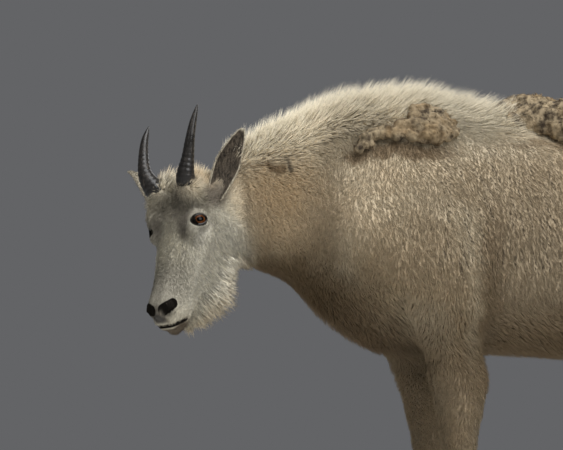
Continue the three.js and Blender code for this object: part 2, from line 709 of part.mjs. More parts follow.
/** The locks of the crest from poll to shoulder, overlapping backwards, two and three abreast by turns. */
function crestLocks(fromX, toX) {
  const draw = draws(41);
  const made = [];
  for (let row = 0; row < CREST_LOCK.rows; row++)
    for (const abreast of row % 2 ? [-0.2, 0.2] : [-0.4, 0, 0.4]) {
      const along = row / (CREST_LOCK.rows - 1);
      const x = mix(-672, -122, along) + 10 * (draw() - 0.5);
      const size = 0.85 + 0.3 * draw();
      if (x < fromX || x > toX) continue;
      const axis = vec(x, mix(-24, 0, Math.min(3 * along, 1)), mix(640, 700, along));
      const { root, out } = emerge(bodyField, axis, vec(0, abreast, 1));
      const back = vec(1, 0.4 * abreast, 0).addScaledVector(out, -out.x).normalize();
      const rise = out.clone().addScaledVector(back, 1.1).normalize();
      const length = (((1 - CREST_CORE) * crestRise(x)[0] + 10) / rise.dot(out)) * size;
      made.push(lock(root, rise, back, out, length, CREST_LOCK.width * size));
    }
  return made;
}

/** The locks of the beard, hanging from the underside of the jaw, one and two abreast by turns. */
function beardLocks() {
  const draw = draws(17);
  const made = [];
  for (let row = 0; row < BEARD_LOCK.rows; row++)
    for (const v of row % 2 ? [0] : [-13, 13]) {
      const along = row / (BEARD_LOCK.rows - 1);
      const u = mix(64, 226, along);
      const { root, out } = emerge(head, onHead(u, 0.5 * v, -108), alongHead(0, v / 60, -1));
      const fall = alongHead(0.12, v / 80, -1).addScaledVector(out, 0.3).normalize();
      const lie = alongHead(mix(0.6, -0.1, along), 0, -0.2);
      lie.addScaledVector(fall, -lie.dot(fall)).normalize();
      const longest = Math.sin(Math.PI * mix(0.1, 0.85, along));
      const length = BEARD_LOCK.length * longest * (0.85 + 0.3 * draw());
      const width = BEARD_LOCK.width * (0.85 + 0.3 * draw());
      made.push(lock(root, fall, lie, alongHead(0, 1, 0), length, width));
    }
  return made;
}

/** The curled clumps that cling to the left shoulder. */
function shoulderClumps() {
  const draw = draws(5);
  const made = [];
  for (let n = 0; n < SHOULDER_WOOL.clumps; n++)
    for (const beside of [-1, 1]) {
      const along = n / (SHOULDER_WOOL.clumps - 1);
      const x = mix(SHOULDER_WOOL.from[0], SHOULDER_WOOL.to[0], along) + 6 * beside;
      const z = mix(SHOULDER_WOOL.from[1], SHOULDER_WOOL.to[1], along) + 15 * beside + 10 * (draw() - 0.5);
      const { root, out } = emerge(bodyField, vec(x, 0, z - 40), vec(0, -1, 0.32));
      const size = SHOULDER_WOOL.size * (0.8 + 0.4 * draw()) * (0.75 + 0.4 * Math.sin(Math.PI * along));
      made.push(clump(root.addScaledVector(out, 0.3 * size), out, size, draw));
    }
  return made;
}

/** The matted sheet of clumps that lies over the back and hangs down its left side. */
function backClumps() {
  const draw = draws(23);
  const made = [];
  for (let row = 0; row < BACK_WOOL.rows; row++)
    for (let n = 0; n < BACK_WOOL.across; n++) {
      const along = row / (BACK_WOOL.rows - 1);
      const x = mix(BACK_WOOL.from, BACK_WOOL.to, along) + (n % 2 ? 12 : -12);
      const lean = mix(-1.15, 0.42, n / (BACK_WOOL.across - 1)) * (0.75 + 0.25 * Math.sin(Math.PI * along));
      const { root, out } = emerge(bodyField, vec(x, 0, 640), vec(0, lean, 1));
      const size = BACK_WOOL.size * (0.85 + 0.3 * draw());
      made.push(clump(root.addScaledVector(out, 0.15 * size), out, size, draw));
    }
  const { root } = emerge(bodyField, vec(-66, 0, 700), vec(0, -0.08, 1));
  made.push(lock(root, vec(0.25, -0.1, 0.96).normalize(), vec(0.97, 0, -0.25), vec(0, 1, 0), 46, 24));
  return made;
}

// The trunk, cut free of the legs and then across

const trunkWhole = solid(shape(bodyField, vec(-640, -250, 330), vec(500, 250, 900), [40, 38, 38]));
const legless = [LEFT, RIGHT].reduce(
  (whole, side) => whole.subtract(shoulderRegion(side, GAP)).subtract(thighRegion(side, GAP)),
  trunkWhole,
);
const coated = join(legless, ...crestLocks(-470, -90), ...shoulderClumps(), ...backClumps());
const [behindCollar] = part(coated, collar.at, collar.normal);
const [behindGirth, chest] = part(behindCollar, girth.at, girth.normal);
const [rump, barrel] = part(behindGirth, loin.at, loin.normal);
const neckFine = solid(shape(bodyField, vec(-700, -170, 440), vec(-420, 150, 850), [27, 27, 27]));
const neckCoated = join(neckFine, ...crestLocks(-700, -440));
const [, aheadOfCollar] = part(neckCoated, collar.at, collar.normal);
const [neck] = part(aheadOfCollar, nape.at, nape.normal);

const tailPath = new THREE.CatmullRomCurve3([
  vec(418, 0, 690),
  vec(454, 0, 682),
  vec(484, 0, 636),
  vec(490, 0, 580),
  vec(482, 0, 536),
]);
const tailSize = (t) => [mix(26, 7, t * t), mix(22, 6, t * t)];
const tail = (grow) => solid(sweep(tailPath, tailSize, 10, 8, vec(0, 1, 0), grow));

put("torso_chest", chest);
put("torso_barrel", barrel);
put("torso_rump", rump.subtract(tail(GAP)));
put("tail", tail(0));

// The legs and their feet

const upperCell = [28, 26, 36];
const lowerCell = [21, 20, 40];
for (const side of [LEFT, RIGHT]) {
  const name = side === LEFT ? "left" : "right";
  const legs = [
    {
      kind: "fore",
      region: shoulderRegion,
      low: vec(-420, side * 115 - 115, 20),
      high: vec(-160, side * 115 + 115, 720),
      hoof: vec(FORE_HOOF.x + STRIDE.fore[side], side * FORE_HOOF.y, HOOF.height),
      fetlock: beside(FORE_FETLOCK, side, STRIDE.fore[side]),
      joints: [
        ["upper_arm", vec(ELBOW.x, 0, ELBOW.z - 64), vec(0.05, 0, 1)],
        ["forearm", vec(KNEE.x, 0, KNEE.z - 26), vec(0.05, 0, 1)],
      ],
    },
    {
      kind: "hind",
      region: thighRegion,
      low: vec(150, side * 115 - 115, 20),
      high: vec(470, side * 115 + 115, 720),
      hoof: vec(HIND_HOOF.x + STRIDE.hind[side], side * HIND_HOOF.y, HOOF.height),
      fetlock: beside(HIND_FETLOCK, side, STRIDE.hind[side]),
      joints: [
        ["thigh", vec(STIFLE.x, 0, STIFLE.z - 52), vec(-0.25, 0, 0.97)],
        ["shank", vec(HOCK.x, 0, HOCK.z - 34), vec(0.08, 0, 1)],
      ],
    },
  ];
  for (const { kind, region, low, high, hoof, fetlock, joints } of legs) {
    const coronet = vec(0.28, 0, 1);
    const dewclaws = [LEFT, RIGHT].map((out) => [
      out,
      (grow) => dewclaw(fetlock.x + 14, fetlock.y, fetlock.z - 24, out, grow),
    ]);
    const [upper, lower] = [upperCell, lowerCell].map((cell) =>
      solid(shape(bodyField, low, high, cell)).intersect(region(side, 0)),
    );
    legPieces(upper, joints.map(([joint, at, normal]) => [`${kind}_${name}_${joint}`, at, normal]));
    const [, shin] = part(lower, ...joints[1].slice(1));
    legPieces(dewclaws.reduce((whole, [, make]) => whole.subtract(make(GAP)), shin), [
      [`${kind}_${name}_cannon`, vec(0, 0, fetlock.z + 26), vec(0, 0, 1)],
      [`${kind}_${name}_pastern`, hoof, coronet],
    ]);
    for (const [out, make] of dewclaws) {
      const place = out === side ? "outer" : "inner";
      put(`${kind}_${name}_dewclaw_${place}`, make(0));
      const [, wall] = part(claw(hoof.x, hoof.y, 0, out), hoof, coronet);
      put(`${kind}_${name}_claw_${place}`, wall);
    }
  }
}

// The head and what it carries

const skullFine = solid(shape(bodyField, vec(-880, -260, 380), vec(-560, 110, 760), [14, 14, 14]));
const [, headWhole] = part(join(skullFine, ...beardLocks()), nape.at, nape.normal);
const sides = [
  [1, "left", alongHead(-0.9, 0.3, 0.22), alongHead(0.42, 0.72, 0.5)],
  [-1, "right", alongHead(-0.54, -0.8, 0.24), alongHead(0.75, -0.45, 0.05)],
];
const socketed = sides.reduce((whole, [s, , along, opens]) => {
  const withLids = whole.add(eyeBall(s, EYE.radius + 3.5)).subtract(lidOpening(s));
  const withSockets = withLids.subtract(eyeBall(s, EYE.radius + GAP)).subtract(horn(s, GAP));
  return withSockets.subtract(ear(s, along, opens, GAP));
}, headWhole);
put("neck", sides.reduce((rest, [s, , along, opens]) => rest.subtract(ear(s, along, opens, GAP)), neck));
const [cranium, mandible] = part(socketed, mouthLine.at, mouthLine.normal);
put("head", [lipGap, nostril(1), nostril(-1)].reduce((whole, cut) => whole.subtract(cut), cranium));
put("lower_jaw", mandible.subtract(lipGap));
for (const [s, name, along, opens] of sides) {
  put(`eye_${name}`, eyeBall(s, EYE.radius));
  put(`horn_${name}`, horn(s));
  put(`ear_${name}`, ear(s, along, opens));
}

// Set on the floor with the middle of its length and width at the origin

const boxes = [...solids.values()].map((whole) => whole.boundingBox());
const [lowX, lowY] = [0, 1].map((axis) => Math.min(...boxes.map((box) => box.min[axis])));
const [highX, highY] = [0, 1].map((axis) => Math.max(...boxes.map((box) => box.max[axis])));

const shift = [-(lowX + highX) / 2, -(lowY + highY) / 2, 0];

const materials = {
  coat: new THREE.MeshStandardMaterial({ color: 0xcfc4ae, roughness: 0.95 }),
  horn: new THREE.MeshStandardMaterial({ color: 0x14110f, roughness: 0.45 }),
  hoof: new THREE.MeshStandardMaterial({ color: 0x1c1916, roughness: 0.7 }),
  eye: new THREE.MeshStandardMaterial({ color: 0x5a2c10, roughness: 0.08 }),
};
const materialOf = (name) => Object.keys(materials).find((kind) => name.startsWith(kind)) ?? "coat";

const goat = new THREE.Group();
for (const [name, whole] of solids) {
  const tidy = surface(largest(solid(surface(whole, shift))), [0, 0, 0]);
  const mesh = new THREE.Mesh(tidy, materials[name.includes("claw") ? "hoof" : materialOf(name)]);
  mesh.name = name;
  goat.add(mesh);
}
export default goat;
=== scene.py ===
"""A life-size mountain goat in its short summer coat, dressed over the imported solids.

The goat faces -X with its left side towards -Y. Sizes that shape the animal are in millimetres in the design
frame of the solids and become metres in the row frame when a mesh is made.
"""
import logging
import math
from dataclasses import dataclass, field
from enum import Enum
from typing import Callable, Sequence

import bmesh
import bpy
import numpy as np
from mathutils import Matrix, Vector
from mathutils.bvhtree import BVHTree
from mathutils.kdtree import KDTree


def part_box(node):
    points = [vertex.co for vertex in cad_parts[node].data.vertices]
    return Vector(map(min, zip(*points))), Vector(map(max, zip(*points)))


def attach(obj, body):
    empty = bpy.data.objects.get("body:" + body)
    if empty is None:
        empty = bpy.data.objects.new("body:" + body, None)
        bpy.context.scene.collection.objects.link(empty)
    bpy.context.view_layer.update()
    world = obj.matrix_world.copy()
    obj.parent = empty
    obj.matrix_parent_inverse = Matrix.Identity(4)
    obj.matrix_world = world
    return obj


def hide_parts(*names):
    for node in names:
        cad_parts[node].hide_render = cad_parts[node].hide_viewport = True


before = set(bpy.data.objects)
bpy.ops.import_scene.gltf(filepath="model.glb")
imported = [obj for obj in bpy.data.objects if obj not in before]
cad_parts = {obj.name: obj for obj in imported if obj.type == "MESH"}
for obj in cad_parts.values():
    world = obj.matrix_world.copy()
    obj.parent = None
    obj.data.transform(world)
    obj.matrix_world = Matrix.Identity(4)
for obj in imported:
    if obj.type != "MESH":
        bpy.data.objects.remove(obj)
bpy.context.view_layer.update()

log = logging.getLogger("goat")

MM = 0.001
BODY = "root"

Mesh = bpy.types.Mesh
Material = bpy.types.Material
Draw = np.random.Generator
Array = np.ndarray
Field = Callable[[Array], Array]
Triple = tuple[float, float, float]
Rows = Sequence[Sequence[float]]


class Side(Enum):
    """Which side of the goat a piece is on, with its sign along the head's v axis."""

    LEFT = 1
    RIGHT = -1

    @property
    def word(self) -> str:
        """The side's name in small letters."""
        return self.name.lower()

    def pick(self, left: object, right: object) -> object:
        """The one of two values that is this side's."""
        return left if self is Side.LEFT else right


SIGNS = tuple(side.value for side in Side)


# Fields


def smooth(low: float, high: float, value: Array) -> Array:
    """A soft step of each value, from 0 at low to 1 at high, which may lie below low."""
    t = np.clip((value - low) / (high - low), 0.0, 1.0)
    return t * t * (3.0 - 2.0 * t)


def unit(vectors: Array) -> Array:
    """Vectors of length one along the given ones."""
    return vectors / np.maximum(np.linalg.norm(vectors, axis=-1, keepdims=True), 1e-9)


class Profile:
    """A smooth curve through rows of numbers, read at any value of their first entry."""

    def __init__(self, rows: Rows) -> None:
        """Stores the rows and the slope at each of them."""
        self.rows = np.array(rows, dtype=float)
        at = self.rows[:, 0]
        low = np.maximum(np.arange(len(at)) - 1, 0)
        high = np.minimum(np.arange(len(at)) + 1, len(at) - 1)
        self.slopes = (self.rows[high] - self.rows[low]) / (at[high] - at[low])[:, None]

    def __call__(self, at: Array) -> Array:
        """The row's other numbers at each given value.

        Args:
            at: values of the rows' first entry.

        Returns:
            One row of numbers for each value.
        """
        rows, slopes = self.rows, self.slopes
        i = np.clip(np.searchsorted(rows[:, 0], at) - 1, 0, len(rows) - 2)
        span = rows[i + 1, 0] - rows[i, 0]
        t = np.clip((at - rows[i, 0]) / span, 0.0, 1.0)
        ease = t * t * (3 - 2 * t)
        leave = t * (1 - t) ** 2 * span
        arrive = t * t * (t - 1) * span
        mixed = rows[i] + (rows[i + 1] - rows[i]) * ease[:, None]
        return (mixed + slopes[i] * leave[:, None] + slopes[i + 1] * arrive[:, None])[:, 1:]


def cone(a: Sequence[float], b: Sequence[float], ra: float, rb: float, squash: float = 1.0) -> Field:
    """A tapered round limb.

    Args:
        a: its first end.
        b: its second end.
        ra: its radius at a.
        rb: its radius at b.
        squash: how much thinner it is from side to side.

    Returns:
        A field of about the distance to it.
    """
    start = np.array([a[0], a[1] / squash, a[2]])
    along = np.array([b[0], b[1] / squash, b[2]]) - start

    def at(p: Array) -> Array:
        """The field at each point."""
        q = p * np.array([1.0, 1.0 / squash, 1.0]) - start
        t = np.clip(q @ along / (along @ along), 0.0, 1.0)
        return np.linalg.norm(q - t[:, None] * along, axis=1) - (ra + (rb - ra) * t)

    return at


def ball(centre: Sequence[float], rx: float, ry: float, rz: float) -> Field:
    """An ellipsoid.

    Args:
        centre: its middle.
        rx: its half width along the first axis.
        ry: its half width along the second axis.
        rz: its half width along the third axis.

    Returns:
        A field of about the distance to it.
    """
    middle, radii = np.array(centre, dtype=float), np.array([rx, ry, rz])

    def at(p: Array) -> Array:
        """The field at each point."""
        q = (p - middle) / radii
        near = np.linalg.norm(q, axis=1)
        return near * (near - 1.0) / np.maximum(np.linalg.norm(q / radii, axis=1), 1e-6)

    return at


def loft(rows: Rows, boxy: float = 2.4) -> Field:
    """A long body through stations.

    Args:
        rows: station, top, bottom, half width, middle and pinch of the top.
        boxy: the power of its cross sections.

    Returns:
        A field of about the distance to it.
    """
    read = Profile(rows)
    first, last = rows[0][0], rows[-1][0]

    def at(p: Array) -> Array:
        """The field at each point."""
        s, v, w = p[:, 0], p[:, 1], p[:, 2]
        top, bottom, half, middle, pinch = read(s).T
        centre, height = (top + bottom) / 2, (top - bottom) / 2
        h = (w - centre) / height
        width = half * (1 - pinch * np.maximum(h, 0))
        spread = (np.abs((v - middle) / width) ** boxy + np.abs(h) ** boxy) ** (1 / boxy)
        out = np.hypot(v - middle, w - centre) * (1 - 1 / np.maximum(spread, 1e-3))
        deep = np.minimum(half, height)
        side = np.where(spread < 0.2, (spread - 1) * deep, np.maximum(out, -deep))
        beyond = np.maximum(np.maximum(first - s, s - last), 0)
        capped = np.hypot(beyond, np.maximum(side, 0)) + np.minimum(side, 0) * 0.1
        return np.where(beyond > 0, capped, side)

    return at


def blend(k: float, *fields: Field) -> Field:
    """Fields joined with a fillet.

    Args:
        k: the fillet's size.
        fields: the fields to join.

    Returns:
        One field.
    """

    def at(p: Array) -> Array:
        """The field at each point."""
        d = fields[0](p)
        for other in fields[1:]:
            e = other(p)
            h = np.maximum(k - np.abs(d - e), 0) / k
            d = np.minimum(d, e) - h * h * k / 4
        return d

    return at


def carve(k: float, whole: Field, *cuts: Field) -> Field:
    """A field with others taken out of it, with edges rounded by k."""
    kept = blend(k, lambda p: -whole(p), *cuts)
    return lambda p: -kept(p)


def ripple(p: Array, size: float, seed: int) -> Array:
    """Soft seeded noise made of turned sine waves.

    Args:
        p: points.
        size: about how far apart the noise's lumps are, in the points' unit.
        seed: picks the waves.

    Returns:
        Numbers from about -1 to 1, one for each point.
    """
    draw = np.random.default_rng(seed)
    total = np.zeros(len(p))
    for _ in range(7):
        way = unit(draw.normal(size=3)) * draw.uniform(0.7, 1.5) * 2 * math.pi / (size * 1.6)
        total += np.sin(p @ way + draw.uniform(0, 6.28))
    return total / 3.0


# The goat's shape, as fields in design millimetres

LEG_FILLET = 30


@dataclass(frozen=True)
class HeadFrame:
    """The head's own axes: u from poll to nose, v to the goat's left, w out of the forehead."""

    at: Triple = (-704.0, -39.0, 679.0)
    yaw: float = 42.0
    pitch: float = 59.0
    roll: float = 5.0

    @property
    def turn(self) -> Array:
        """The rotation from head axes to design axes."""
        turn = (
            Matrix.Rotation(math.pi + math.radians(self.yaw), 3, "Z")
            @ Matrix.Rotation(math.radians(self.pitch), 3, "Y")
            @ Matrix.Rotation(math.radians(self.roll), 3, "X")
        )
        return np.array(turn)

    def place(self, u: float, v: float, w: float) -> Array:
        """The design point of a head point."""
        return self.turn @ np.array([u, v, w], dtype=float) + np.array(self.at)

    def way(self, u: float, v: float, w: float) -> Array:
        """The design direction of a head direction."""
        return unit(self.turn @ np.array([u, v, w], dtype=float))

    def read(self, p: Array) -> Array:
        """Head coordinates of design points."""
        return (p - np.array(self.at)) @ self.turn

    def places(self, h: Array) -> Array:
        """Design points of head points."""
        return h @ self.turn.T + np.array(self.at)


HEAD = HeadFrame()
EYES_AT = {Side.LEFT: (91.0, 40.0, -25.0), Side.RIGHT: (99.0, -41.0, -25.0)}
EYE_RADIUS = 16.0


def from_eyes(h: Array) -> Array:
    """How far head points are from the middle of the nearer eye."""
    return np.minimum(*(np.linalg.norm(h - at, axis=1) for at in EYES_AT.values()))


@dataclass(frozen=True)
class Leg:
    """The joints of one leg, with the side's sign along Y."""

    side: int
    back: float

    def at(self, x: float, y: float, z: float, share: float = 0.0) -> Triple:
        """A point of the leg, set back by a share of the stride."""
        return (x + share * self.back, self.side * y, z)


def foreleg(leg: Leg) -> Field:
    """One foreleg from shoulder blade to coronet.

    Args:
        leg: its side and how far its foot is set back.

    Returns:
        Its field.
    """
    blade, shoulder, elbow = leg.at(-318, 66, 740), leg.at(-402, 96, 570), leg.at(-274, 116, 462)
    forearm, knee, shin = (leg.at(-245, 106, z, 1) for z in (326, 278, 232))
    return blend(
        LEG_FILLET,
        cone(blade, shoulder, 52, 70, 0.9),
        cone(leg.at(-300, 92, 640), leg.at(-270, 116, 462), 74, 60, 0.85),
        cone(shoulder, elbow, 60, 54, 0.85),
        cone(leg.at(-272, 116, 450), forearm, 62, 50, 0.78),
        cone(forearm, knee, 49, 38, 0.8),
        cone(knee, shin, 35, 26, 0.95),
        cone(shin, leg.at(-228, 102, 120, 1), 25, 22, 1),
        cone(leg.at(-228, 102, 96, 1), leg.at(-246, 102, 40, 1), 28, 30, 1.08),
    )


def hindleg(leg: Leg) -> Field:
    """One hind leg from hip to coronet.

    Args:
        leg: its side and how far its foot is set back.

    Returns:
        Its field.
    """
    stifle, shin = leg.at(212, 124, 478, 0.3), leg.at(338, 102, 352, 0.8)
    hock, cannon = leg.at(372, 102, 300, 0.8), leg.at(367, 102, 250, 0.8)
    return blend(
        LEG_FILLET,
        cone(leg.at(318, 64, 664), leg.at(260, 106, 530, 0.3), 96, 80, 0.78),
        cone(leg.at(384, 58, 640), leg.at(372, 86, 480, 0.4), 62, 50, 0.85),
        cone(leg.at(252, 100, 590), stifle, 74, 52, 0.8),
        cone(stifle, shin, 56, 40, 0.85),
        cone(leg.at(362, 92, 470, 0.5), leg.at(392, 102, 324, 0.8), 46, 21, 0.8),
        cone(shin, hock, 38, 31, 0.9),
        cone(hock, cannon, 30, 25, 0.95),
        cone(cannon, leg.at(346, 100, 120, 1), 25, 22, 1),
        cone(leg.at(346, 100, 96, 1), leg.at(326, 100, 40, 1), 28, 30, 1.08),
    )


@dataclass
class Body:
    """The fields of the goat's body without its long hair and old wool.

    Each row of a part holds a station with its top, bottom, half width, middle and pinch of the top.
    """

    trunk_rows: Rows = (
        (-680, 668, 588, 28, -30, 0.1),
        (-640, 698, 556, 42, -21, 0.15),
        (-585, 738, 522, 62, -13, 0.2),
        (-510, 776, 492, 88, -3, 0.26),
        (-440, 806, 430, 118, 0, 0.32),
        (-360, 821, 384, 144, 0, 0.38),
        (-290, 828, 374, 154, 0, 0.42),
        (-200, 814, 382, 164, 0, 0.38),
        (-100, 792, 380, 176, 0, 0.24),
        (20, 776, 376, 184, 0, 0.14),
        (140, 774, 386, 178, 0, 0.12),
        (250, 772, 424, 158, 0, 0.14),
        (350, 746, 500, 128, 0, 0.16),
        (420, 698, 560, 88, 0, 0.1),
        (452, 650, 606, 34, 0, 0),
    )
    skull_rows: Rows = (
        (-24, -28, -84, 38, 0, 0),
        (15, 0, -90, 49, 0, 0),
        (55, 9, -92, 53, 0, 0.06),
        (95, 3, -90, 51, 0, 0.12),
        (135, -16, -84, 41, 0, 0.16),
        (172, -27, -83, 33, 0, 0.14),
        (204, -31, -85, 30, 0, 0.1),
        (230, -34, -87, 28, 0, 0.06),
        (250, -39, -86, 21.5, 4, 0),
        (262, -50, -80, 14, 5, 0),
    )
    jaw_rows: Rows = (
        (-10, -50, -128, 40, 0, 0),
        (30, -50, -150, 47, 0, 0),
        (70, -52, -156, 47, 0, 0),
        (110, -56, -150, 42, 0, 0),
        (150, -60, -138, 36, 0, 0),
        (190, -66, -124, 30, 0, 0),
        (222, -72, -116, 26, 0, 0),
        (243, -80, -111, 21, 0, 0),
        (254, -90, -105, 10, 0, 0),
    )
    tail_at: Sequence[Triple] = ((412, 0, 684), (452, 0, 676), (480, 0, 634), (484, 0, 584))
    tail_radii: Sequence[float] = (24, 19, 14, 8)
    jaw_fillet: float = 44
    face_fillet: float = 16
    tail_fillet: float = 14
    limb_fillet: float = 55
    neck_fillet: float = 34
    rump_fillet: float = 12

    def __post_init__(self) -> None:
        """Builds the fields of head, torso and whole body."""
        self.face = self._face()
        fore = [foreleg(Leg(-1, 0)), foreleg(Leg(1, 14))]
        hind = [hindleg(Leg(-1, 26)), hindleg(Leg(1, -22))]
        ends, radii = self.tail_at, self.tail_radii
        lengths = (cone(ends[k], ends[k + 1], radii[k], radii[k + 1]) for k in range(len(ends) - 1))
        self.tail = blend(self.tail_fillet, *lengths)
        torso = blend(self.limb_fillet, loft(self.trunk_rows), *fore, *hind)
        headed = blend(self.neck_fillet, torso, lambda p: self.face(HEAD.read(p)))
        self.whole = blend(self.rump_fillet, headed, self.tail)

    def _face(self) -> Field:
        """Joins skull, jaw, brows, cheeks and muzzle.

        Returns:
            The head's field in its own axes, without its openings.
        """
        return blend(
            self.face_fillet,
            blend(self.jaw_fillet, loft(self.skull_rows), loft(self.jaw_rows)),
            ball((92, 38, -22), 33, 18, 21),
            ball((94, -41, -23), 33, 18, 21),
            ball((78, -38, -2), 30, 17, 20),
            *(cone((104, s * 42, -50), (186, s * 27, -68), 14, 11) for s in SIGNS),
            *(ball((46, s * 29 - 3, 6), 33, 26, 27) for s in SIGNS),
            *(ball((138, s * 26, -96), 46, 15, 28) for s in SIGNS),
            *(ball((240, s * 13 + 2, -55), 16, 11, 13) for s in SIGNS),
            *(ball((244, s * 11 + 1, -76), 20, 16, 12) for s in SIGNS),
        )

    def skin(self, p: Array) -> Array:
        """The field of the skin, which lies under the coat's tips."""
        return self.whole(p) + self.depth(p)

    def depth(self, p: Array) -> Array:
        """How far the skin lies under the tips of the coat.

        Args:
            p: design points.

        Returns:
            Millimetres, one for each point.
        """
        h = HEAD.read(p)
        low = smooth(150, 400, p[:, 2])
        on_body = 5.0 + 6.0 * low
        on_head = 2.0 + 5.0 * smooth(140, 40, h[:, 0]) + 5.0 * smooth(20, -40, h[:, 0])
        head_part = smooth(40, -10, self.face(h)) * smooth(-70, -20, h[:, 0])
        return on_body * (1 - head_part) + on_head * head_part


@dataclass
class Sculptor:
    """Moves the points of a mesh on to the surface where a field is zero."""

    surface: Field
    slope_step: float = 0.6

    def read(self, p: Array) -> tuple[Array, Array]:
        """The field and its slope, which points out of the body, at each point."""
        ways = np.array([[1, -1, -1], [-1, -1, 1], [-1, 1, -1], [1, 1, 1]], dtype=float)
        values = np.stack([self.surface(p + way * self.slope_step) for way in ways], axis=1)
        return values.mean(axis=1), values @ ways / (4 * self.slope_step)

    def settle(self, p: Array, passes: int = 5, most: float = 12.0, near: float = 0.12) -> Array:
        """Points moved on to the surface.

        Args:
            p: design points.
            passes: how many steps a point may take.
            most: the longest step.
            near: how close to the surface is close enough.

        Returns:
            The moved points.
        """
        moved = p.copy()
        active = np.arange(len(p))
        for _ in range(passes):
            value, slope = self.read(moved[active])
            steep = np.maximum((slope * slope).sum(axis=1), 0.25)
            moved[active] -= slope * (np.clip(value, -most, most) / steep)[:, None]
            active = active[np.abs(value) > near]
            if len(active) == 0:
                break
        return moved


# Meshes


def to_row(p: Array) -> Array:
    """Row-frame metres of design points in millimetres."""
    return p * MM + SHIFT


def to_design(p: Array) -> Array:
    """Design millimetres of row-frame points in metres."""
    return (p - SHIFT) / MM


def _shift() -> Array:
    """The row frame's offset from the design frame, read from where the left eye was packed."""
    low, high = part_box("eye_left")
    shift = (np.array(low) + np.array(high)) / 2 - HEAD.place(*EYES_AT[Side.LEFT]) * MM
    return np.array([shift[0], shift[1], 0.0])


SHIFT = _shift()


def points_of(mesh: Mesh, what: str = "co") -> Array:
    """A mesh's vertices in metres, or another vector of each."""
    flat = np.empty(len(mesh.vertices) * 3)
    mesh.vertices.foreach_get(what, flat)
    return flat.reshape(-1, 3)


def put_points(mesh: Mesh, points: Array) -> None:
    """Moves a mesh's vertices to points in metres."""
    mesh.vertices.foreach_set("co", points.ravel())
    mesh.update()


def store(mesh: Mesh, name: str, values: Array) -> None:
    """Stores a named number at each vertex of a mesh."""
    mesh.attributes.new(name, "FLOAT", "POINT").data.foreach_set("value", values)


def modify(piece: bpy.types.Object, kind: str, **settings: object) -> None:
    """Adds a modifier.

    Args:
        piece: the object.
        kind: the modifier's Blender type.
        settings: its properties.
    """
    modifier = piece.modifiers.new(kind.lower(), kind)
    for key, value in settings.items():
        setattr(modifier, key, value)


def show(mesh: Mesh, name: str, material: Material) -> bpy.types.Object:
    """Makes a shown piece that rides on the goat's body.

    Args:
        mesh: its mesh, in metres.
        name: its name.
        material: its finish.

    Returns:
        The piece.
    """
    mesh.materials.clear()
    mesh.materials.append(material)
    piece = loose(mesh, name)
    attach(piece, BODY)
    log.info("%s: %d faces", name, len(mesh.polygons))
    return piece


def finished(piece: bpy.types.Object, name: str) -> Mesh:
    """A mesh with an object's modifiers applied; the object is removed.

    Args:
        piece: the object with its modifiers.
        name: the new mesh's name.

    Returns:
        The mesh.
    """
    graph = bpy.context.evaluated_depsgraph_get()
    mesh = bpy.data.meshes.new_from_object(piece.evaluated_get(graph))
    mesh.name = name
    data = piece.data
    bpy.data.objects.remove(piece)
    if data.users == 0 and isinstance(data, Mesh):
        bpy.data.meshes.remove(data)
    return mesh


def loose(data: bpy.types.ID, name: str) -> bpy.types.Object:
    """An object for a mesh, curve, light or camera, linked to the scene."""
    piece = bpy.data.objects.new(name, data)
    bpy.context.scene.collection.objects.link(piece)
    return piece


def tube(name: str, points: Array, radii: Sequence[float], sides: int, closed: bool = False) -> Mesh:
    """A round tube along points, as a mesh.

    Args:
        name: the mesh's name.
        points: the points along it, in metres.
        radii: its radius at each point, in metres.
        sides: a quarter of the count of its sides, less one.
        closed: whether its end meets its start.

    Returns:
        The mesh.
    """
    curve = bpy.data.curves.new(name, "CURVE")
    curve.dimensions = "3D"
    curve.bevel_depth = 1.0
    curve.bevel_resolution = sides
    curve.use_fill_caps = not closed
    spline = curve.splines.new("POLY")
    spline.points.add(len(points) - 1)
    spline.use_cyclic_u = closed
    for at, point, radius in zip(spline.points, points, radii):
        at.co = (*point, 1.0)
        at.radius = radius
    made = finished(loose(curve, name), name)
    bpy.data.curves.remove(curve)
    made.shade_smooth()
    return made


# The skin


FLESH_WORDS = ("head", "lower_jaw", "neck", "torso", "tail", "arm", "cannon", "pastern", "thigh", "shank")


def flesh_nodes() -> list[str]:
    """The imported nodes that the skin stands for."""
    names = sorted(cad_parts)
    return [n for n in names if any(word in n for word in FLESH_WORDS)]


# Balls that close the hollows under horns, ears and eyes: u, v, w and radius, on both sides

PLUGS = ((50, 30, 0, 24), (30, 38, -38, 20), (88, 38, -25, 17))


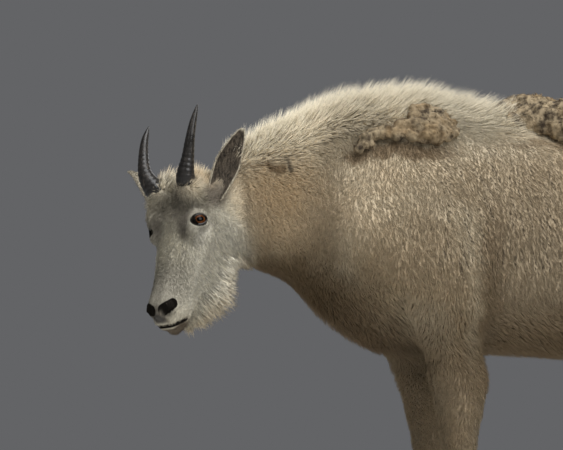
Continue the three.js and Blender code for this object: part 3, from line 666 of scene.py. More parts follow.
@dataclass
class Skin:
    """The goat's whole skin but for the ears, lying under the coat's tips by the coat's depth."""

    body: Body
    voxel: float = 0.0072
    smoothing: int = 18
    detail_from: float = -12.0
    head_margin: float = 14.0
    fine_margin: float = 6.0
    eye_reach: float = 34.0
    lid_reach: float = 24.0
    muzzle_span: tuple[float, float] = (208.0, 300.0)
    mesh: Mesh | None = None

    def build(self, material: Material) -> bpy.types.Object:
        """Makes the skin.

        Args:
            material: its finish.

        Returns:
            The skin's piece, which replaces the nodes of flesh.
        """
        mesh = self._joined()
        self._sculpt(mesh, self.body.skin)
        self._refine(mesh)
        self._sculpt(mesh, HeadDetail(self.body.skin).read, ahead_of=self.detail_from)
        mesh.shade_smooth()
        self._mark_bare(mesh)
        self.mesh = mesh
        piece = show(mesh, "skin", material)
        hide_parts(*flesh_nodes())
        return piece

    def _joined(self) -> Mesh:
        """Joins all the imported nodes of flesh.

        Returns:
            One smooth closed mesh round them.
        """
        joined = bmesh.new()
        for name in flesh_nodes():
            joined.from_mesh(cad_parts[name].data)
        for u, v, w, radius in PLUGS:
            for s in SIGNS:
                middle = Matrix.Translation(Vector(to_row(HEAD.place(u, s * v, w))))
                bmesh.ops.create_icosphere(joined, subdivisions=3, radius=radius * MM, matrix=middle)
        bmesh.ops.remove_doubles(joined, verts=joined.verts, dist=1e-6)
        mesh = bpy.data.meshes.new("skin_start")
        joined.to_mesh(mesh)
        joined.free()
        piece = loose(mesh, "skin_start")
        modify(piece, "REMESH", mode="VOXEL", voxel_size=self.voxel)
        modify(piece, "SMOOTH", factor=0.5, iterations=self.smoothing)
        return finished(piece, "skin")

    def _sculpt(self, mesh: Mesh, surface: Field, ahead_of: float | None = None) -> None:
        """Moves the mesh on to a field.

        Args:
            mesh: the mesh, in metres.
            surface: the field.
            ahead_of: how far along the head's u axis points are moved from, or None for all of them.
        """
        places = to_design(points_of(mesh))
        moving = np.ones(len(places), dtype=bool)
        if ahead_of is not None:
            h = HEAD.read(places)
            moving = (h[:, 0] > ahead_of) & (self.body.face(h) < self.head_margin)
        places[moving] = Sculptor(surface).settle(places[moving])
        put_points(mesh, to_row(places))

    def _mark_bare(self, mesh: Mesh) -> None:
        """Stores how bare and how black the skin is at each vertex."""
        place = Place(to_design(points_of(mesh)), points_of(mesh, "normal"), self.body)
        store(mesh, "bare", place.bare())
        store(mesh, "lid", place.dark())

    def _refine(self, mesh: Mesh) -> None:
        """Divides the head's faces, and those of eyes and muzzle once more.

        Args:
            mesh: the skin's mesh.
        """
        whole = bmesh.new()
        whole.from_mesh(mesh)
        for level in range(3):
            places = to_design(np.array([v.co for v in whole.verts]))
            h = HEAD.read(places)
            from_eye = from_eyes(h)
            muzzle = (h[:, 0] > self.muzzle_span[0]) & (h[:, 0] < self.muzzle_span[1])
            near = [True, (from_eye < self.eye_reach) | muzzle, from_eye < self.lid_reach][level]
            wanted = (self.body.face(h) < self.fine_margin) & (h[:, 0] > self.detail_from) & near
            whole.verts.ensure_lookup_table()
            edges = [e for e in whole.edges if wanted[e.verts[0].index] and wanted[e.verts[1].index]]
            bmesh.ops.subdivide_edges(whole, edges=edges, cuts=1, use_grid_fill=True)
        whole.to_mesh(mesh)
        whole.free()


MOUTH_DEPTH = -92
MOUTH_BEND_FROM = 240
MOUTH_CORNER = (228, 250)


def mouth_line(u: Array) -> Array:
    """How high the line of the mouth runs in the head's frame, along its u axis."""
    return MOUTH_DEPTH + 0.7 * np.maximum(u - MOUTH_BEND_FROM, 0)


@dataclass
class HeadDetail:
    """The small forms of the head: lids, nostrils and their rims, the lower lip and the line of the mouth."""

    plain: Field
    lid_radius: float = 18.4
    lid_fillet: float = 5.0
    cut_edge: float = 2.2
    nostril_fillet: float = 4.0
    slot_start: float = 226.0
    slot_half: float = 40.0
    slot_gape: float = 2.8

    def __post_init__(self) -> None:
        """Builds the forms that are raised and those that are cut."""
        openings = [EyeOpening(side) for side in Side]
        rims = [ball((243, s * 20 + 4, -52), 14, 7, 10) for s in SIGNS]
        lids = [ball(o.centre, self.lid_radius, self.lid_radius, self.lid_radius) for o in openings]
        self.raised = [*lids, *rims, cone((251, 0, -97), (232, 0, -104), 12, 12, 1.1)]
        nostrils = [
            blend(
                self.nostril_fillet,
                cone((254, s * 13 + 3, -45), (238, s * 24 + 4, -51), 8.4, 6.8),
                cone((256, s * 11 + 3, -46), (262, s * 8 + 2, -62), 4.0, 1.5),
            )
            for s in SIGNS
        ]
        cleft = cone((267, -1, -56), (258, -1, -80), 2.2, 1.6)
        self.cuts = [*nostrils, self._slot, cleft, *(o.cut for o in openings)]

    def read(self, p: Array) -> Array:
        """Reads the detailed field.

        Args:
            p: design points.

        Returns:
            Its value at each of them.
        """
        d = self.plain(p)
        h = HEAD.read(p)
        u, v, w = h.T
        near = (u > 40) & (u < 320) & (np.abs(v) < 90) & (w > -150) & (w < 40)
        there = d[near]
        raised = blend(self.lid_fillet, lambda _: there, *self.raised)
        d[near] = carve(self.cut_edge, raised, *self.cuts)(h[near])
        return d

    def _slot(self, h: Array) -> Array:
        """The field of the mouth's slot at head points."""
        u, v, w = h.T
        gape = self.slot_gape * smooth(*MOUTH_CORNER, u) + 0.2
        reach = np.maximum(self.slot_start - u, np.abs(v) - self.slot_half)
        return np.maximum(np.abs(w - mouth_line(u)) - gape, reach)


@dataclass
class EyeOpening:
    """The almond opening between one eye's lids."""

    side: Side
    half_length: float = 13.6
    half_height: float = 8.6
    left_out: Triple = (0.18, 0.84, 0.53)
    right_out: Triple = (0.46, -0.64, 0.62)
    rim_width: float = 2.0

    def __post_init__(self) -> None:
        """Places the opening on the eye."""
        self.centre = np.array(EYES_AT[self.side])
        self.out = unit(np.array(self.side.pick(self.left_out, self.right_out)))
        corner = np.array([0.61, -0.49 * self.side.value, 0.63])
        self.along = unit(corner - self.out * (corner @ self.out))
        self.over = np.cross(self.out, self.along)

    def cut(self, h: Array) -> Array:
        """Reads the field of the opening.

        Args:
            h: head points.

        Returns:
            Its value at each of them.
        """
        q = h - self.centre
        x, y, z = q @ self.along, q @ self.over, q @ self.out
        a, b = self.half_length, self.half_height
        radius = (a * a + b * b) / (2 * b)
        lens = np.maximum(np.hypot(x, y - radius + b), np.hypot(x, y + radius - b)) - radius
        return np.maximum(lens, 2.0 - z)

    def lid(self, h: Array) -> Array:
        """How far head points lie on the bare edge of the lids, from 0 to 1."""
        q = h - self.centre
        out = q @ self.out
        x, y = self.half_length + self.rim_width, self.half_height + 0.8 * self.rim_width
        far = np.hypot(q @ self.along / x, q @ self.over / y)
        return smooth(1.2, 1.0, far) * (out > 0) * smooth(26, 22, out)

    def spread(self, x: Array, y: Array, z: Array) -> Array:
        """Row-frame points of points in the opening's own axes, in metres."""
        local = self.centre + np.outer(x, self.along) + np.outer(y, self.over) + np.outer(z, self.out)
        return to_row(HEAD.places(local))

    def rim(self, count: int, lift: float) -> Array:
        """Points round the opening on the eyeball, in metres.

        Args:
            count: how many points.
            lift: how far they stand off the eyeball, in millimetres.

        Returns:
            Row-frame points.
        """
        turn = np.linspace(0, 2 * math.pi, count, endpoint=False)
        x = self.half_length * np.cos(turn)
        y = self.half_height * np.sign(np.sin(turn)) * np.abs(np.sin(turn)) ** 1.25
        size = EYE_RADIUS + lift
        return self.spread(x, y, np.sqrt(np.maximum(size * size - x * x - y * y, 0)))


# Eyes, lids, horns, ears and feet


@dataclass
class Eye:
    """One eyeball with its raised front, and the dark rim of its lids."""

    side: Side
    rim_radius: float = 1.7
    rim_lift: float = 0.9
    rim_points: int = 64
    inset: float = 0.2
    front_rise: float = 1.3

    def build(self, ball_material: Material, rim_material: Material) -> None:
        """Makes the eyeball and its rim.

        Args:
            ball_material: the finish of the eyeball.
            rim_material: the finish of the lids' rim.
        """
        opening = EyeOpening(self.side)
        whole = bmesh.new()
        bmesh.ops.create_uvsphere(whole, u_segments=48, v_segments=32, radius=1.0)
        gaze = whole.loops.layers.uv.new("Gaze")
        for face in whole.faces:
            for loop in face.loops:
                loop[gaze].uv = loop.vert.co.xy if loop.vert.co.z > 0 else loop.vert.co.xy.normalized() * 2
        ways = np.array([v.co for v in whole.verts])
        radii = EYE_RADIUS - self.inset + self.front_rise * smooth(0.72, 0.95, ways[:, 2])
        for vert, point in zip(whole.verts, opening.spread(*(ways * radii[:, None]).T)):
            vert.co = point
        if self.side is Side.RIGHT:
            bmesh.ops.reverse_faces(whole, faces=whole.faces)
        mesh = bpy.data.meshes.new("eyeball")
        whole.to_mesh(mesh)
        whole.free()
        mesh.shade_smooth()
        piece = show(mesh, f"eyeball_{self.side.word}", ball_material)
        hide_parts(f"eye_{self.side.word}")
        points = opening.rim(self.rim_points, self.rim_lift)
        rim = tube("rim", points, [self.rim_radius * MM] * len(points), sides=3, closed=True)
        show(rim, f"lid_rim_{self.side.word}", rim_material)


@dataclass
class Horn:
    """One black horn, ringed on its lower part and smooth to its point."""

    side: Side
    rings: int = 15
    ring_depth: float = 1.3
    stations: int = 150
    girth: Rows = (
        (0.0, 17.0), (0.2, 16.8), (0.27, 15.4), (0.36, 12.8), (0.45, 10.6),
        (0.62, 8.2), (0.8, 6.1), (0.9, 4.2), (0.965, 2.2), (1.0, 0.6),
    )
    left_path: Sequence[Triple] = (
        (44, 24, -12), (38, 27, 18), (31, 31, 30), (8, 38, 45), (-15, 45, 61), (-41, 50, 73), (-72, 56, 84),
    )
    right_path: Sequence[Triple] = (
        (50, -32, -10), (45, -39, 18), (28, -50, 41), (1, -56, 54), (-28, -58, 64), (-58, -58, 68),
    )
    right_girth: float = 1.08

    @property
    def path(self) -> Sequence[Triple]:
        """The head points that the horn's middle runs through."""
        return self.side.pick(self.left_path, self.right_path)

    def build(self, material: Material) -> None:
        """Makes the horn.

        Args:
            material: its finish.
        """
        marks = np.array([HEAD.place(*at) for at in self.path])
        run = np.concatenate([[0], np.cumsum(np.linalg.norm(np.diff(marks, axis=0), axis=1))])
        t = np.linspace(0, 1, self.stations)
        points = Profile([[s, *row] for s, row in zip(run / run[-1], marks)])(t)
        ridge = np.abs(np.sin(math.pi * self.rings * t**0.85 / 0.75)) ** 0.7
        radii = Profile(self.girth)(t)[:, 0] * self.side.pick(1.0, self.right_girth)
        radii += self.ring_depth * smooth(0.74, 0.5, t) * (1 - t) * (ridge - 0.6)
        mesh = tube("horn", to_row(points), radii * MM, sides=6)
        piece = show(mesh, f"horn_skin_{self.side.word}", material)
        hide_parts(f"horn_{self.side.word}")


@dataclass
class Ear:
    """One cupped, pointed ear, thinner than its solid by its coat."""

    side: Side
    length: float = 133.0
    width: float = 21.5
    wall: float = 2.6
    sunk: float = 0.55
    bow: float = 7.0
    left_lie: Sequence[Triple] = ((34.0, 42.0, -38.0), (-0.9, 0.3, 0.22), (0.42, 0.72, 0.5))
    right_lie: Sequence[Triple] = ((50.0, -55.0, -31.0), (-0.64, -0.76, 0.16), (0.68, -0.64, -0.34))

    @property
    def lie(self) -> Sequence[Triple]:
        """The ear's root, the way it points and the way it opens, in the head's axes."""
        return self.side.pick(self.left_lie, self.right_lie)

    @property
    def root(self) -> Array:
        """The design point that the ear grows from."""
        return HEAD.place(*self.lie[0])

    @property
    def axes(self) -> tuple[Array, Array, Array]:
        """The ear's length, its opening and its breadth, as design directions."""
        along, opens = (HEAD.way(*way) for way in self.lie[1:])
        front = unit(opens - along * (opens @ along))
        return along, front, np.cross(along, front)

    def sheet(self, t: Array, a: Array, off: float = 0.0) -> Array:
        """Design points of the ear's sheet.

        Args:
            t: shares of its length.
            a: shares of its breadth, from -0.5 to 0.5.
            off: how far outside the sheet, in millimetres.

        Returns:
            The points.
        """
        along, front, across = self.axes
        curl, wrap = self._curl(t)
        turn = a * wrap
        radius = curl + off
        reach = curl * self.sunk - radius * np.cos(turn) - self.bow * np.sin(math.pi * t)
        aside = np.outer(radius * np.sin(turn), across)
        return self.root + np.outer(t * self.length, along) + aside + np.outer(reach, front)

    def _curl(self, t: Array) -> tuple[Array, Array]:
        """The radius of the cup and how far round it goes, in radians, at shares of its length."""
        w = self.width
        upper = [[0.5, w, 2.2], [0.75, 0.72 * w, 1.8], [0.91, 0.4 * w, 1.6], [1, 2.6, 1.5]]
        half, wrap = Profile([[0, 12, 3.4], [0.24, 18, 2.9], *upper])(t).T
        return half / np.sin(np.minimum(wrap, 3.1) / 2), wrap

    def shares(self, p: Array, n: Array) -> tuple[Array, Array, Array]:
        """Which side of the cup points lie on.

        Args:
            p: design points of the ear.
            n: their normals.

        Returns:
            How far each is inside the cup, how near its edge, and its share of the length.
        """
        along, front, across = self.axes
        q = p - self.root
        t = np.clip(q @ along / self.length, 0, 1)
        curl, wrap = self._curl(t)
        aside, ahead = q @ across, q @ front - curl * self.sunk + self.bow * np.sin(math.pi * t)
        out = unit(np.outer(aside, across) + np.outer(ahead, front))
        turn = np.abs(np.arctan2(aside, -ahead)) / (wrap / 2)
        edge = np.maximum(smooth(0.88, 1.0, turn), smooth(0.94, 0.99, t))
        return smooth(0.15, -0.25, (n * out).sum(axis=1)), edge, t

    def build(self, material: Material) -> bpy.types.Object:
        """Makes the ear.

        Args:
            material: its finish.

        Returns:
            The ear's piece.
        """
        grid = bmesh.new()
        bmesh.ops.create_grid(grid, x_segments=16, y_segments=26, size=0.5)
        flat = np.array([v.co for v in grid.verts])
        placed = to_row(self.sheet(flat[:, 1] + 0.5, flat[:, 0], off=1.0))
        for vert, point in zip(grid.verts, placed):
            vert.co = point
        mesh = bpy.data.meshes.new("ear")
        grid.to_mesh(mesh)
        grid.free()
        piece = loose(mesh, "ear_start")
        modify(piece, "SOLIDIFY", thickness=self.wall * MM, offset=1.0)
        modify(piece, "SUBSURF", levels=1, render_levels=1)
        made = finished(piece, "ear")
        made.shade_smooth()
        inner, edge, _ = self.shares(to_design(points_of(made)), points_of(made, "normal"))
        store(made, "inner", inner * (1 - edge))
        store(made, "shade", np.ones(len(inner)))
        shown = show(made, f"ear_skin_{self.side.word}", material)
        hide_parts(f"ear_{self.side.word}")
        return shown


@dataclass
class Feet:
    """The hooves and dewclaws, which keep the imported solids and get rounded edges."""

    edge: float = 1.6

    def dress(self, material: Material) -> None:
        """Rounds and finishes each claw.

        Args:
            material: the finish of hoof horn.
        """
        for name in sorted(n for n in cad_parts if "claw" in n):
            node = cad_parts[name]
            modify(node, "BEVEL", width=self.edge * MM, segments=3, limit_method="ANGLE")
            node.data.materials.clear()
            node.data.materials.append(material)
            log.info("%s: finished", name)


# Finishes

Colour = tuple[float, float, float]
Socket = bpy.types.NodeSocket


class Graph:
    """A node tree with short calls that add nodes and join them."""

    def __init__(self, tree: bpy.types.NodeTree) -> None:
        """Keeps the tree."""
        self.tree = tree

    def add(self, kind: str, inputs: dict | None = None, **settings: object) -> bpy.types.Node:
        """Adds a node.

        Args:
            kind: its Blender type.
            inputs: a value or a socket for each input named.
            settings: its properties.

        Returns:
            The node.
        """
        node = self.tree.nodes.new(kind)
        for key, value in settings.items():
            setattr(node, key, value)
        self.fill(node, inputs or {})
        return node

    def fill(self, node: bpy.types.Node, inputs: dict) -> None:
        """Gives a node's inputs their values and joins the sockets among them."""
        for key, value in inputs.items():
            if isinstance(value, Socket):
                self.tree.links.new(value, node.inputs[key])
            else:
                node.inputs[key].default_value = value

    def spot(self) -> Socket:
        """The place on the goat, in metres."""
        return self.add("ShaderNodeTexCoord").outputs["Object"]

    def stored(self, name: str) -> Socket:
        """A number stored at a mesh's vertices."""
        return self.add("ShaderNodeAttribute", attribute_name=name).outputs["Fac"]

    def math(self, operation: str, a: object, b: object = 0.0, clamp: bool = False) -> Socket:
        """The result of a sum on two numbers."""
        return self.add("ShaderNodeMath", {0: a, 1: b}, operation=operation, use_clamp=clamp).outputs[0]

    def vector(self, operation: str, inputs: dict, output: str = "Vector") -> Socket:
        """The result of a sum on vectors."""
        return self.add("ShaderNodeVectorMath", inputs, operation=operation).outputs[output]

    def step(self, value: object, low: float, high: float, start: float = 0.0, end: float = 1.0) -> Socket:
        """A soft step of a number, from start at low to end at high."""
        inputs = {"Value": value, "From Min": low, "From Max": high, "To Min": start, "To Max": end}
        return self.add("ShaderNodeMapRange", inputs, interpolation_type="SMOOTHSTEP").outputs[0]

    def mix(self, share: object, a: object, b: object, how: str = "MIX") -> Socket:
        """Two colours mixed."""
        a, b = (c if isinstance(c, Socket) else (*c, 1.0) for c in (a, b))
        return self.add("ShaderNodeMix", {0: share, 6: a, 7: b}, data_type="RGBA", blend_type=how).outputs[2]

    def times(self, colour: object, number: Socket) -> Socket:
        """A colour multiplied by a number."""
        grey = self.add("ShaderNodeCombineColor", {i: number for i in range(3)}).outputs[0]
        return self.mix(1.0, colour, grey, "MULTIPLY")

    def noise(self, vector: object, scale: float, detail: float = 3.0, rough: float = 0.55) -> Socket:
        """Soft noise from 0 to 1."""
        inputs = {"Vector": vector, "Scale": scale, "Detail": detail, "Roughness": rough}
        return self.add("ShaderNodeTexNoise", inputs).outputs["Fac"]

    def stretched(self, vector: object, scale: Colour, turn: Colour = (0.0, 0.0, 0.0)) -> Socket:
        """Coordinates turned and scaled, one way more than another."""
        inputs = {"Vector": vector, "Rotation": turn, "Scale": scale}
        return self.add("ShaderNodeMapping", inputs, vector_type="POINT").outputs[0]

    def bump(self, height: Socket, strength: float, depth: float) -> Socket:
        """A normal from a height."""
        inputs = {"Height": height, "Strength": strength, "Distance": depth}
        return self.add("ShaderNodeBump", inputs).outputs[0]


class Effect(Graph):
    """A shader node group that more than one finish uses."""

    def __init__(self, name: str, inputs: dict[str, float], output: str, kind: str) -> None:
        """Makes the group and its sockets.

        Args:
            name: the group's name.
            inputs: its number inputs with their first values.
            output: its output's name.
            kind: its output's socket type.
        """
        super().__init__(bpy.data.node_groups.new(name, "ShaderNodeTree"))
        for key, value in inputs.items():
            socket = self.tree.interface.new_socket(key, in_out="INPUT", socket_type="NodeSocketFloat")
            socket.default_value = value
        self.tree.interface.new_socket(output, in_out="OUTPUT", socket_type=kind)
        self.given = self.add("NodeGroupInput").outputs
        self.taken = self.add("NodeGroupOutput")

    def use(self, graph: Graph, **inputs: float) -> Socket:
        """Places the group in another tree and gives its result."""
        return graph.add("ShaderNodeGroup", inputs, node_tree=self.tree).outputs[0]


class Paint(Graph):
    """A new material's node tree with its shader."""

    def __init__(self, name: str) -> None:
        """Makes the material."""
        self.material = bpy.data.materials.new(name)
        self.material.use_nodes = True
        super().__init__(self.material.node_tree)

    def done(self, colour: Socket, rough: object, normal: Socket | None = None, **more: object) -> Material:
        """Joins the results to the shader.

        Args:
            colour: the base colour.
            rough: how rough it is, as a number or a socket.
            normal: a bumped normal, where there is one.
            more: other inputs, with _ for each space of their names.

        Returns:
            The material.
        """
        inputs = {"Base Color": colour, "Roughness": rough}
        if normal is not None:
            inputs["Normal"] = normal
        inputs.update({key.replace("_", " "): value for key, value in more.items()})
        self.fill(self.tree.nodes["Principled BSDF"], inputs)
        return self.material


@dataclass(frozen=True)
class Marking:
    """A soft patch of colour on the coat, some of which stand for painted light and shade, as a stretched
    ball in head or design millimetres.
    """

    at: Triple
    size: Triple
    colour: Colour
    share: float = 0.8
    soft: float = 0.45

    def place(self, graph: Graph, where: Socket, on_head: bool) -> Socket:
        """The patch's mask.

        Args:
            graph: the tree it goes in.
            where: the coordinates to read it at.
            on_head: whether it lies in the head's own axes.

        Returns:
            A number from 0 to its share.
        """
        middle = to_row(HEAD.place(*self.at) if on_head else np.array(self.at))
        turn = Matrix(HEAD.turn.tolist()).to_euler("XYZ") if on_head else (0.0, 0.0, 0.0)
        inputs = {"Vector": where, "Location": middle, "Rotation": turn, "Scale": [s * MM for s in self.size]}
        local = graph.add("ShaderNodeMapping", inputs, vector_type="TEXTURE").outputs[0]
        far = graph.vector("LENGTH", {0: local}, "Value")
        return graph.step(far, 1 + self.soft, 1 - self.soft, 0.0, self.share)


WARM_WHITE = (0.82, 0.75, 0.59)
CHEEK_WHITE_AND_LIGHT = (0.92, 0.87, 0.73)
FACE_WHITE = (0.72, 0.67, 0.53)
CREAM = (0.80, 0.67, 0.47)
STRAW = (0.66, 0.47, 0.26)
TAN = (0.68, 0.53, 0.34)
ASH = (0.52, 0.41, 0.27)
UMBER = (0.29, 0.20, 0.11)
LEG_BROWN = (0.27, 0.20, 0.12)
# Brown of the low chest, partly its own colour and partly painted shade.
BREAST_BROWN_AND_SHADE = (0.23, 0.155, 0.085)
# Painted shade colour for under the throat and jaw.
THROAT_SHADE = (0.20, 0.135, 0.07)
LIP_BROWN = (0.13, 0.09, 0.055)
EYE_GREY = (0.37, 0.34, 0.28)
NOSE_GREY = (0.30, 0.275, 0.225)
EAR_GREY = (0.24, 0.20, 0.15)
SMOKE = (0.17, 0.145, 0.115)
SOOT = (0.03, 0.025, 0.02)

MARKINGS = tuple(Marking(*row) for row in (
    # Whiter over the crest and the top of the back: partly the crest's paler hair, partly painted light on
    # the top.
    ((-300, 0, 840), (470, 190, 130), WARM_WHITE, 0.9, 0.6),
    ((-600, -20, 760), (150, 90, 70), WARM_WHITE, 0.9, 0.5),
    # Greyer lower flanks: partly the coat's grey, partly painted shade low on the sides.
    ((-80, -150, 510), (210, 110, 180), ASH, 0.8, 0.6),
    ((-80, 150, 510), (210, 110, 180), ASH, 0.8, 0.6),
    ((-390, -110, 690), (170, 110, 110), CREAM, 0.5, 0.6),
    # Darker belly: partly dirt, partly painted shade underneath.
    ((40, 0, 366), (430, 230, 95), UMBER, 0.85, 0.6),
    # Brown low on the chest: partly its own colour, partly painted shade under the breast.
    ((-430, -20, 400), (150, 110, 90), BREAST_BROWN_AND_SHADE, 0.85, 0.6),
    # Painted shade under the throat and jaw.
    ((-525, -30, 488), (140, 95, 62), THROAT_SHADE, 0.9, 0.6),
    # Greyer upper flanks: partly the coat's grey, partly painted shade on the sides below the hump.
    ((-110, -150, 650), (190, 110, 100), ASH, 0.6, 0.6),
    ((-110, 150, 650), (190, 110, 100), ASH, 0.6, 0.6),
    ((-335, -150, 540), (60, 60, 60), ASH, 0.35, 0.7),
    # Painted light along the lit rear edge of the shoulder and upper arm, and painted shade in the dip just
    # behind it.
    ((-272, -150, 606), (28, 90, 18), CREAM, 0.6, 0.8),
    ((-246, -150, 575), (19, 90, 30), CREAM, 0.6, 0.8),
    ((-233, -150, 480), (16, 90, 110), CREAM, 0.6, 0.8),
    ((-198, -150, 500), (22, 90, 110), UMBER, 0.5, 0.7),
    # Painted shadow under the shoulder's old wool.
    ((-345, -125, 719), (88, 60, 15), UMBER, 0.85, 0.5),
    ((-424, -115, 706), (20, 60, 16), UMBER, 0.8, 0.5),
    # Painted shadow under the lower edge of the back's old wool.
    ((-60, -130, 742), (90, 60, 12), UMBER, 0.6, 0.5),
    ((-260, 0, 220), (100, 170, 190), LEG_BROWN, 0.85, 0.6),
    ((350, 0, 220), (130, 170, 190), ASH, 0.7, 0.6),
    ((-545, -75, 650), (60, 60, 50), STRAW, 0.45, 0.7),
    ((-480, -110, 600), (36, 60, 100), ASH, 0.5, 0.7),
    ((-600, -70, 600), (40, 50, 60), ASH, 0.4, 0.7),
    ((-556, -76, 690), (10, 26, 9), UMBER, 0.85, 0.5),
    ((-536, -76, 692), (7, 26, 11), SOOT, 0.7, 0.5),
    ((-590, -70, 690), (36, 30, 2.4), UMBER, 0.6, 0.5),
))

FACE_MARKINGS = tuple(Marking(*row) for row in (
    ((130, 0, -60), (165, 90, 110), FACE_WHITE, 0.95, 0.35),
    ((91, 40, -25), (32, 32, 32), EYE_GREY, 0.8, 0.5),
    ((99, -41, -25), (32, 32, 32), EYE_GREY, 0.8, 0.5),
    ((22, 56, -30), (26, 22, 24), EAR_GREY, 0.85, 0.5),
    ((22, -56, -30), (26, 22, 24), EAR_GREY, 0.85, 0.5),
    ((76, 12, 8), (42, 24, 30), SMOKE, 0.66, 0.6),
    ((88, -26, 8), (34, 16, 26), SMOKE, 0.5, 0.6),
    ((112, 30, -10), (26, 12, 16), SMOKE, 0.75, 0.55),
    ((114, -34, -10), (24, 12, 16), SMOKE, 0.6, 0.55),
    ((116, 46, -40), (20, 22, 11), SMOKE, 0.7, 0.6),
    ((118, -50, -40), (20, 22, 11), SMOKE, 0.7, 0.6),
    ((36, 48, -32), (24, 22, 24), SMOKE, 0.75, 0.6),
    ((36, -54, -32), (24, 22, 24), SMOKE, 0.75, 0.6),
    ((150, 33, -33), (7, 9, 3.2), SMOKE, 0.85, 0.5),
    # Whiter cheeks: partly their white hair, partly painted light on the cheek's lower part, which faces
    # down, away from the light.
    ((130, 46, -96), (86, 34, 62), CHEEK_WHITE_AND_LIGHT, 0.9, 0.45),
    ((130, -46, -96), (86, 34, 62), CHEEK_WHITE_AND_LIGHT, 0.9, 0.45),
    ((212, 0, -40), (50, 52, 34), NOSE_GREY, 0.75, 0.6),
    ((256, -2, -54), (15, 24, 17), SMOKE, 0.9, 0.4),
    ((247, 23, -49), (15, 11, 9), SOOT, 0.95, 0.45),
    ((247, -15, -49), (15, 11, 9), SOOT, 0.95, 0.45),
    ((264, 0, -56), (9, 14, 12), SOOT, 0.8, 0.4),
    ((256, 4, -96), (24, 36, 16), LIP_BROWN, 0.9, 0.35),
    ((170, 0, -160), (110, 60, 40), CREAM, 0.7, 0.5),
    ((26, -12, 16), (16, 20, 26), WARM_WHITE, 0.9, 0.5),
    ((66, -40, 14), (14, 14, 16), WARM_WHITE, 0.8, 0.5),
    ((6, 26, -4), (24, 24, 26), TAN, 0.7, 0.6),
))


def coat_markings() -> Effect:
    """The coat's colours over the whole goat, with patches of painted light and shade among them.

    Returns:
        The effect, whose inputs weaken the small changes of colour and the dirt.
    """
    g = Effect("coat_markings", {"Variation": 1.0, "Dirt": 1.0}, "Color", "NodeSocketColor")
    spot = g.spot()
    drift = g.add("ShaderNodeTexNoise", {"Vector": spot, "Scale": 26.0, "Detail": 3.0}).outputs["Color"]
    drift = g.vector("SUBTRACT", {0: drift, 1: (0.5, 0.5, 0.5)})
    drifts = (g.vector("SCALE", {0: drift, "Scale": size}) for size in (0.05, 0.016))
    body, face = (g.vector("ADD", {0: spot, 1: moved}) for moved in drifts)
    colour = g.mix(g.step(g.noise(spot, 9.0, 4.0), 0.35, 0.68), TAN, CREAM)
    for where, patches, on_head in ((body, MARKINGS, False), (face, FACE_MARKINGS, True)):
        for patch in patches:
            colour = g.mix(patch.place(g, where, on_head), colour, patch.colour)
    fleck = g.step(g.noise(spot, 150.0, 4.0, 0.7), 0.3, 0.75, -0.16, 0.16)
    colour = g.times(colour, g.math("ADD", g.math("MULTIPLY", fleck, g.given["Variation"]), 1.0))
    dust = g.step(g.noise(spot, 60.0, 5.0, 0.75), 0.62, 0.8, 0.0, 0.35)
    colour = g.mix(g.math("MULTIPLY", dust, g.given["Dirt"]), colour, UMBER)
    g.fill(g.taken, {"Color": colour})
    return g


def short_hair() -> Effect:
    """Fine short hair.

    Returns:
        The effect, which gives the hair's height.
    """
    g = Effect("short_hair", {"Fineness": 1.0}, "Height", "NodeSocketFloat")
    sized = g.vector("SCALE", {0: g.spot(), "Scale": g.given["Fineness"]})
    long = g.noise(g.stretched(sized, (420.0, 420.0, 90.0), (0.2, 0.5, 0.0)), 1.0, 2.0)
    tight = g.noise(sized, 520.0, 2.0)
    g.fill(g.taken, {"Height": g.math("ADD", long, g.math("MULTIPLY", tight, 0.5))})
    return g


@dataclass(frozen=True)
class SkinFinish:
    """The skin with its shortest hair, painted darker than the coat on it as painted shade between the hairs,
    and black at lids, nostrils and lips.
    """

    # How dark the skin is painted against the coat, from the hollows to the tops of its short hair: painted
    # shade between the hairs.
    dark: float = 0.68
    light: float = 0.92
    black: Colour = (0.012, 0.010, 0.008)

    def build(self, markings: Effect, hair: Effect) -> Material:
        """Makes the material.

        Args:
            markings: the coat's colours.
            hair: the height of short hair.

        Returns:
            The material.
        """
        g = Paint("skin")
        colour = markings.use(g, Variation=1.0, Dirt=1.0)
        height = hair.use(g, Fineness=1.0)
        bare, lid = g.stored("bare"), g.stored("lid")
        # Painted shade: away from bare parts the skin is painted darker than the coat, most in the hollows of
        # its short hair.
        painted_gap_shade = g.times(colour, g.step(height, 0.45, 1.05, self.dark, self.light))
        colour = g.mix(g.math("SUBTRACT", 1.0, bare, True), colour, painted_gap_shade)
        colour = g.mix(g.step(lid, 0.1, 0.7), colour, self.black)
        rough = g.math("MAXIMUM", g.step(bare, 0.0, 1.0, 0.85, 0.5), g.step(lid, 0.0, 0.5, 0.0, 0.95))
        shine = g.step(lid, 0.0, 0.5, 0.4, 0.03)
        return g.done(colour, rough, g.bump(height, 0.5, 0.0012), Specular_IOR_Level=shine)


@dataclass(frozen=True)
class CoatFinish:
    """Hair, painted darker at its root and in the creases as painted shade, with pale tips."""

    variation: float = 0.8
    dirt: float = 0.6
    shine: float = 0.12

    def build(self, markings: Effect) -> Material:
        """Makes the material.

        Args:
            markings: the coat's colours.

        Returns:
            The material.
        """
        g = Paint("coat")
        shade = g.stored("shade")
        colour = g.times(markings.use(g, Variation=self.variation, Dirt=self.dirt), shade)
        return g.done(colour, g.step(shade, 0.2, 1.2, 0.95, 0.8), Specular_IOR_Level=self.shine)


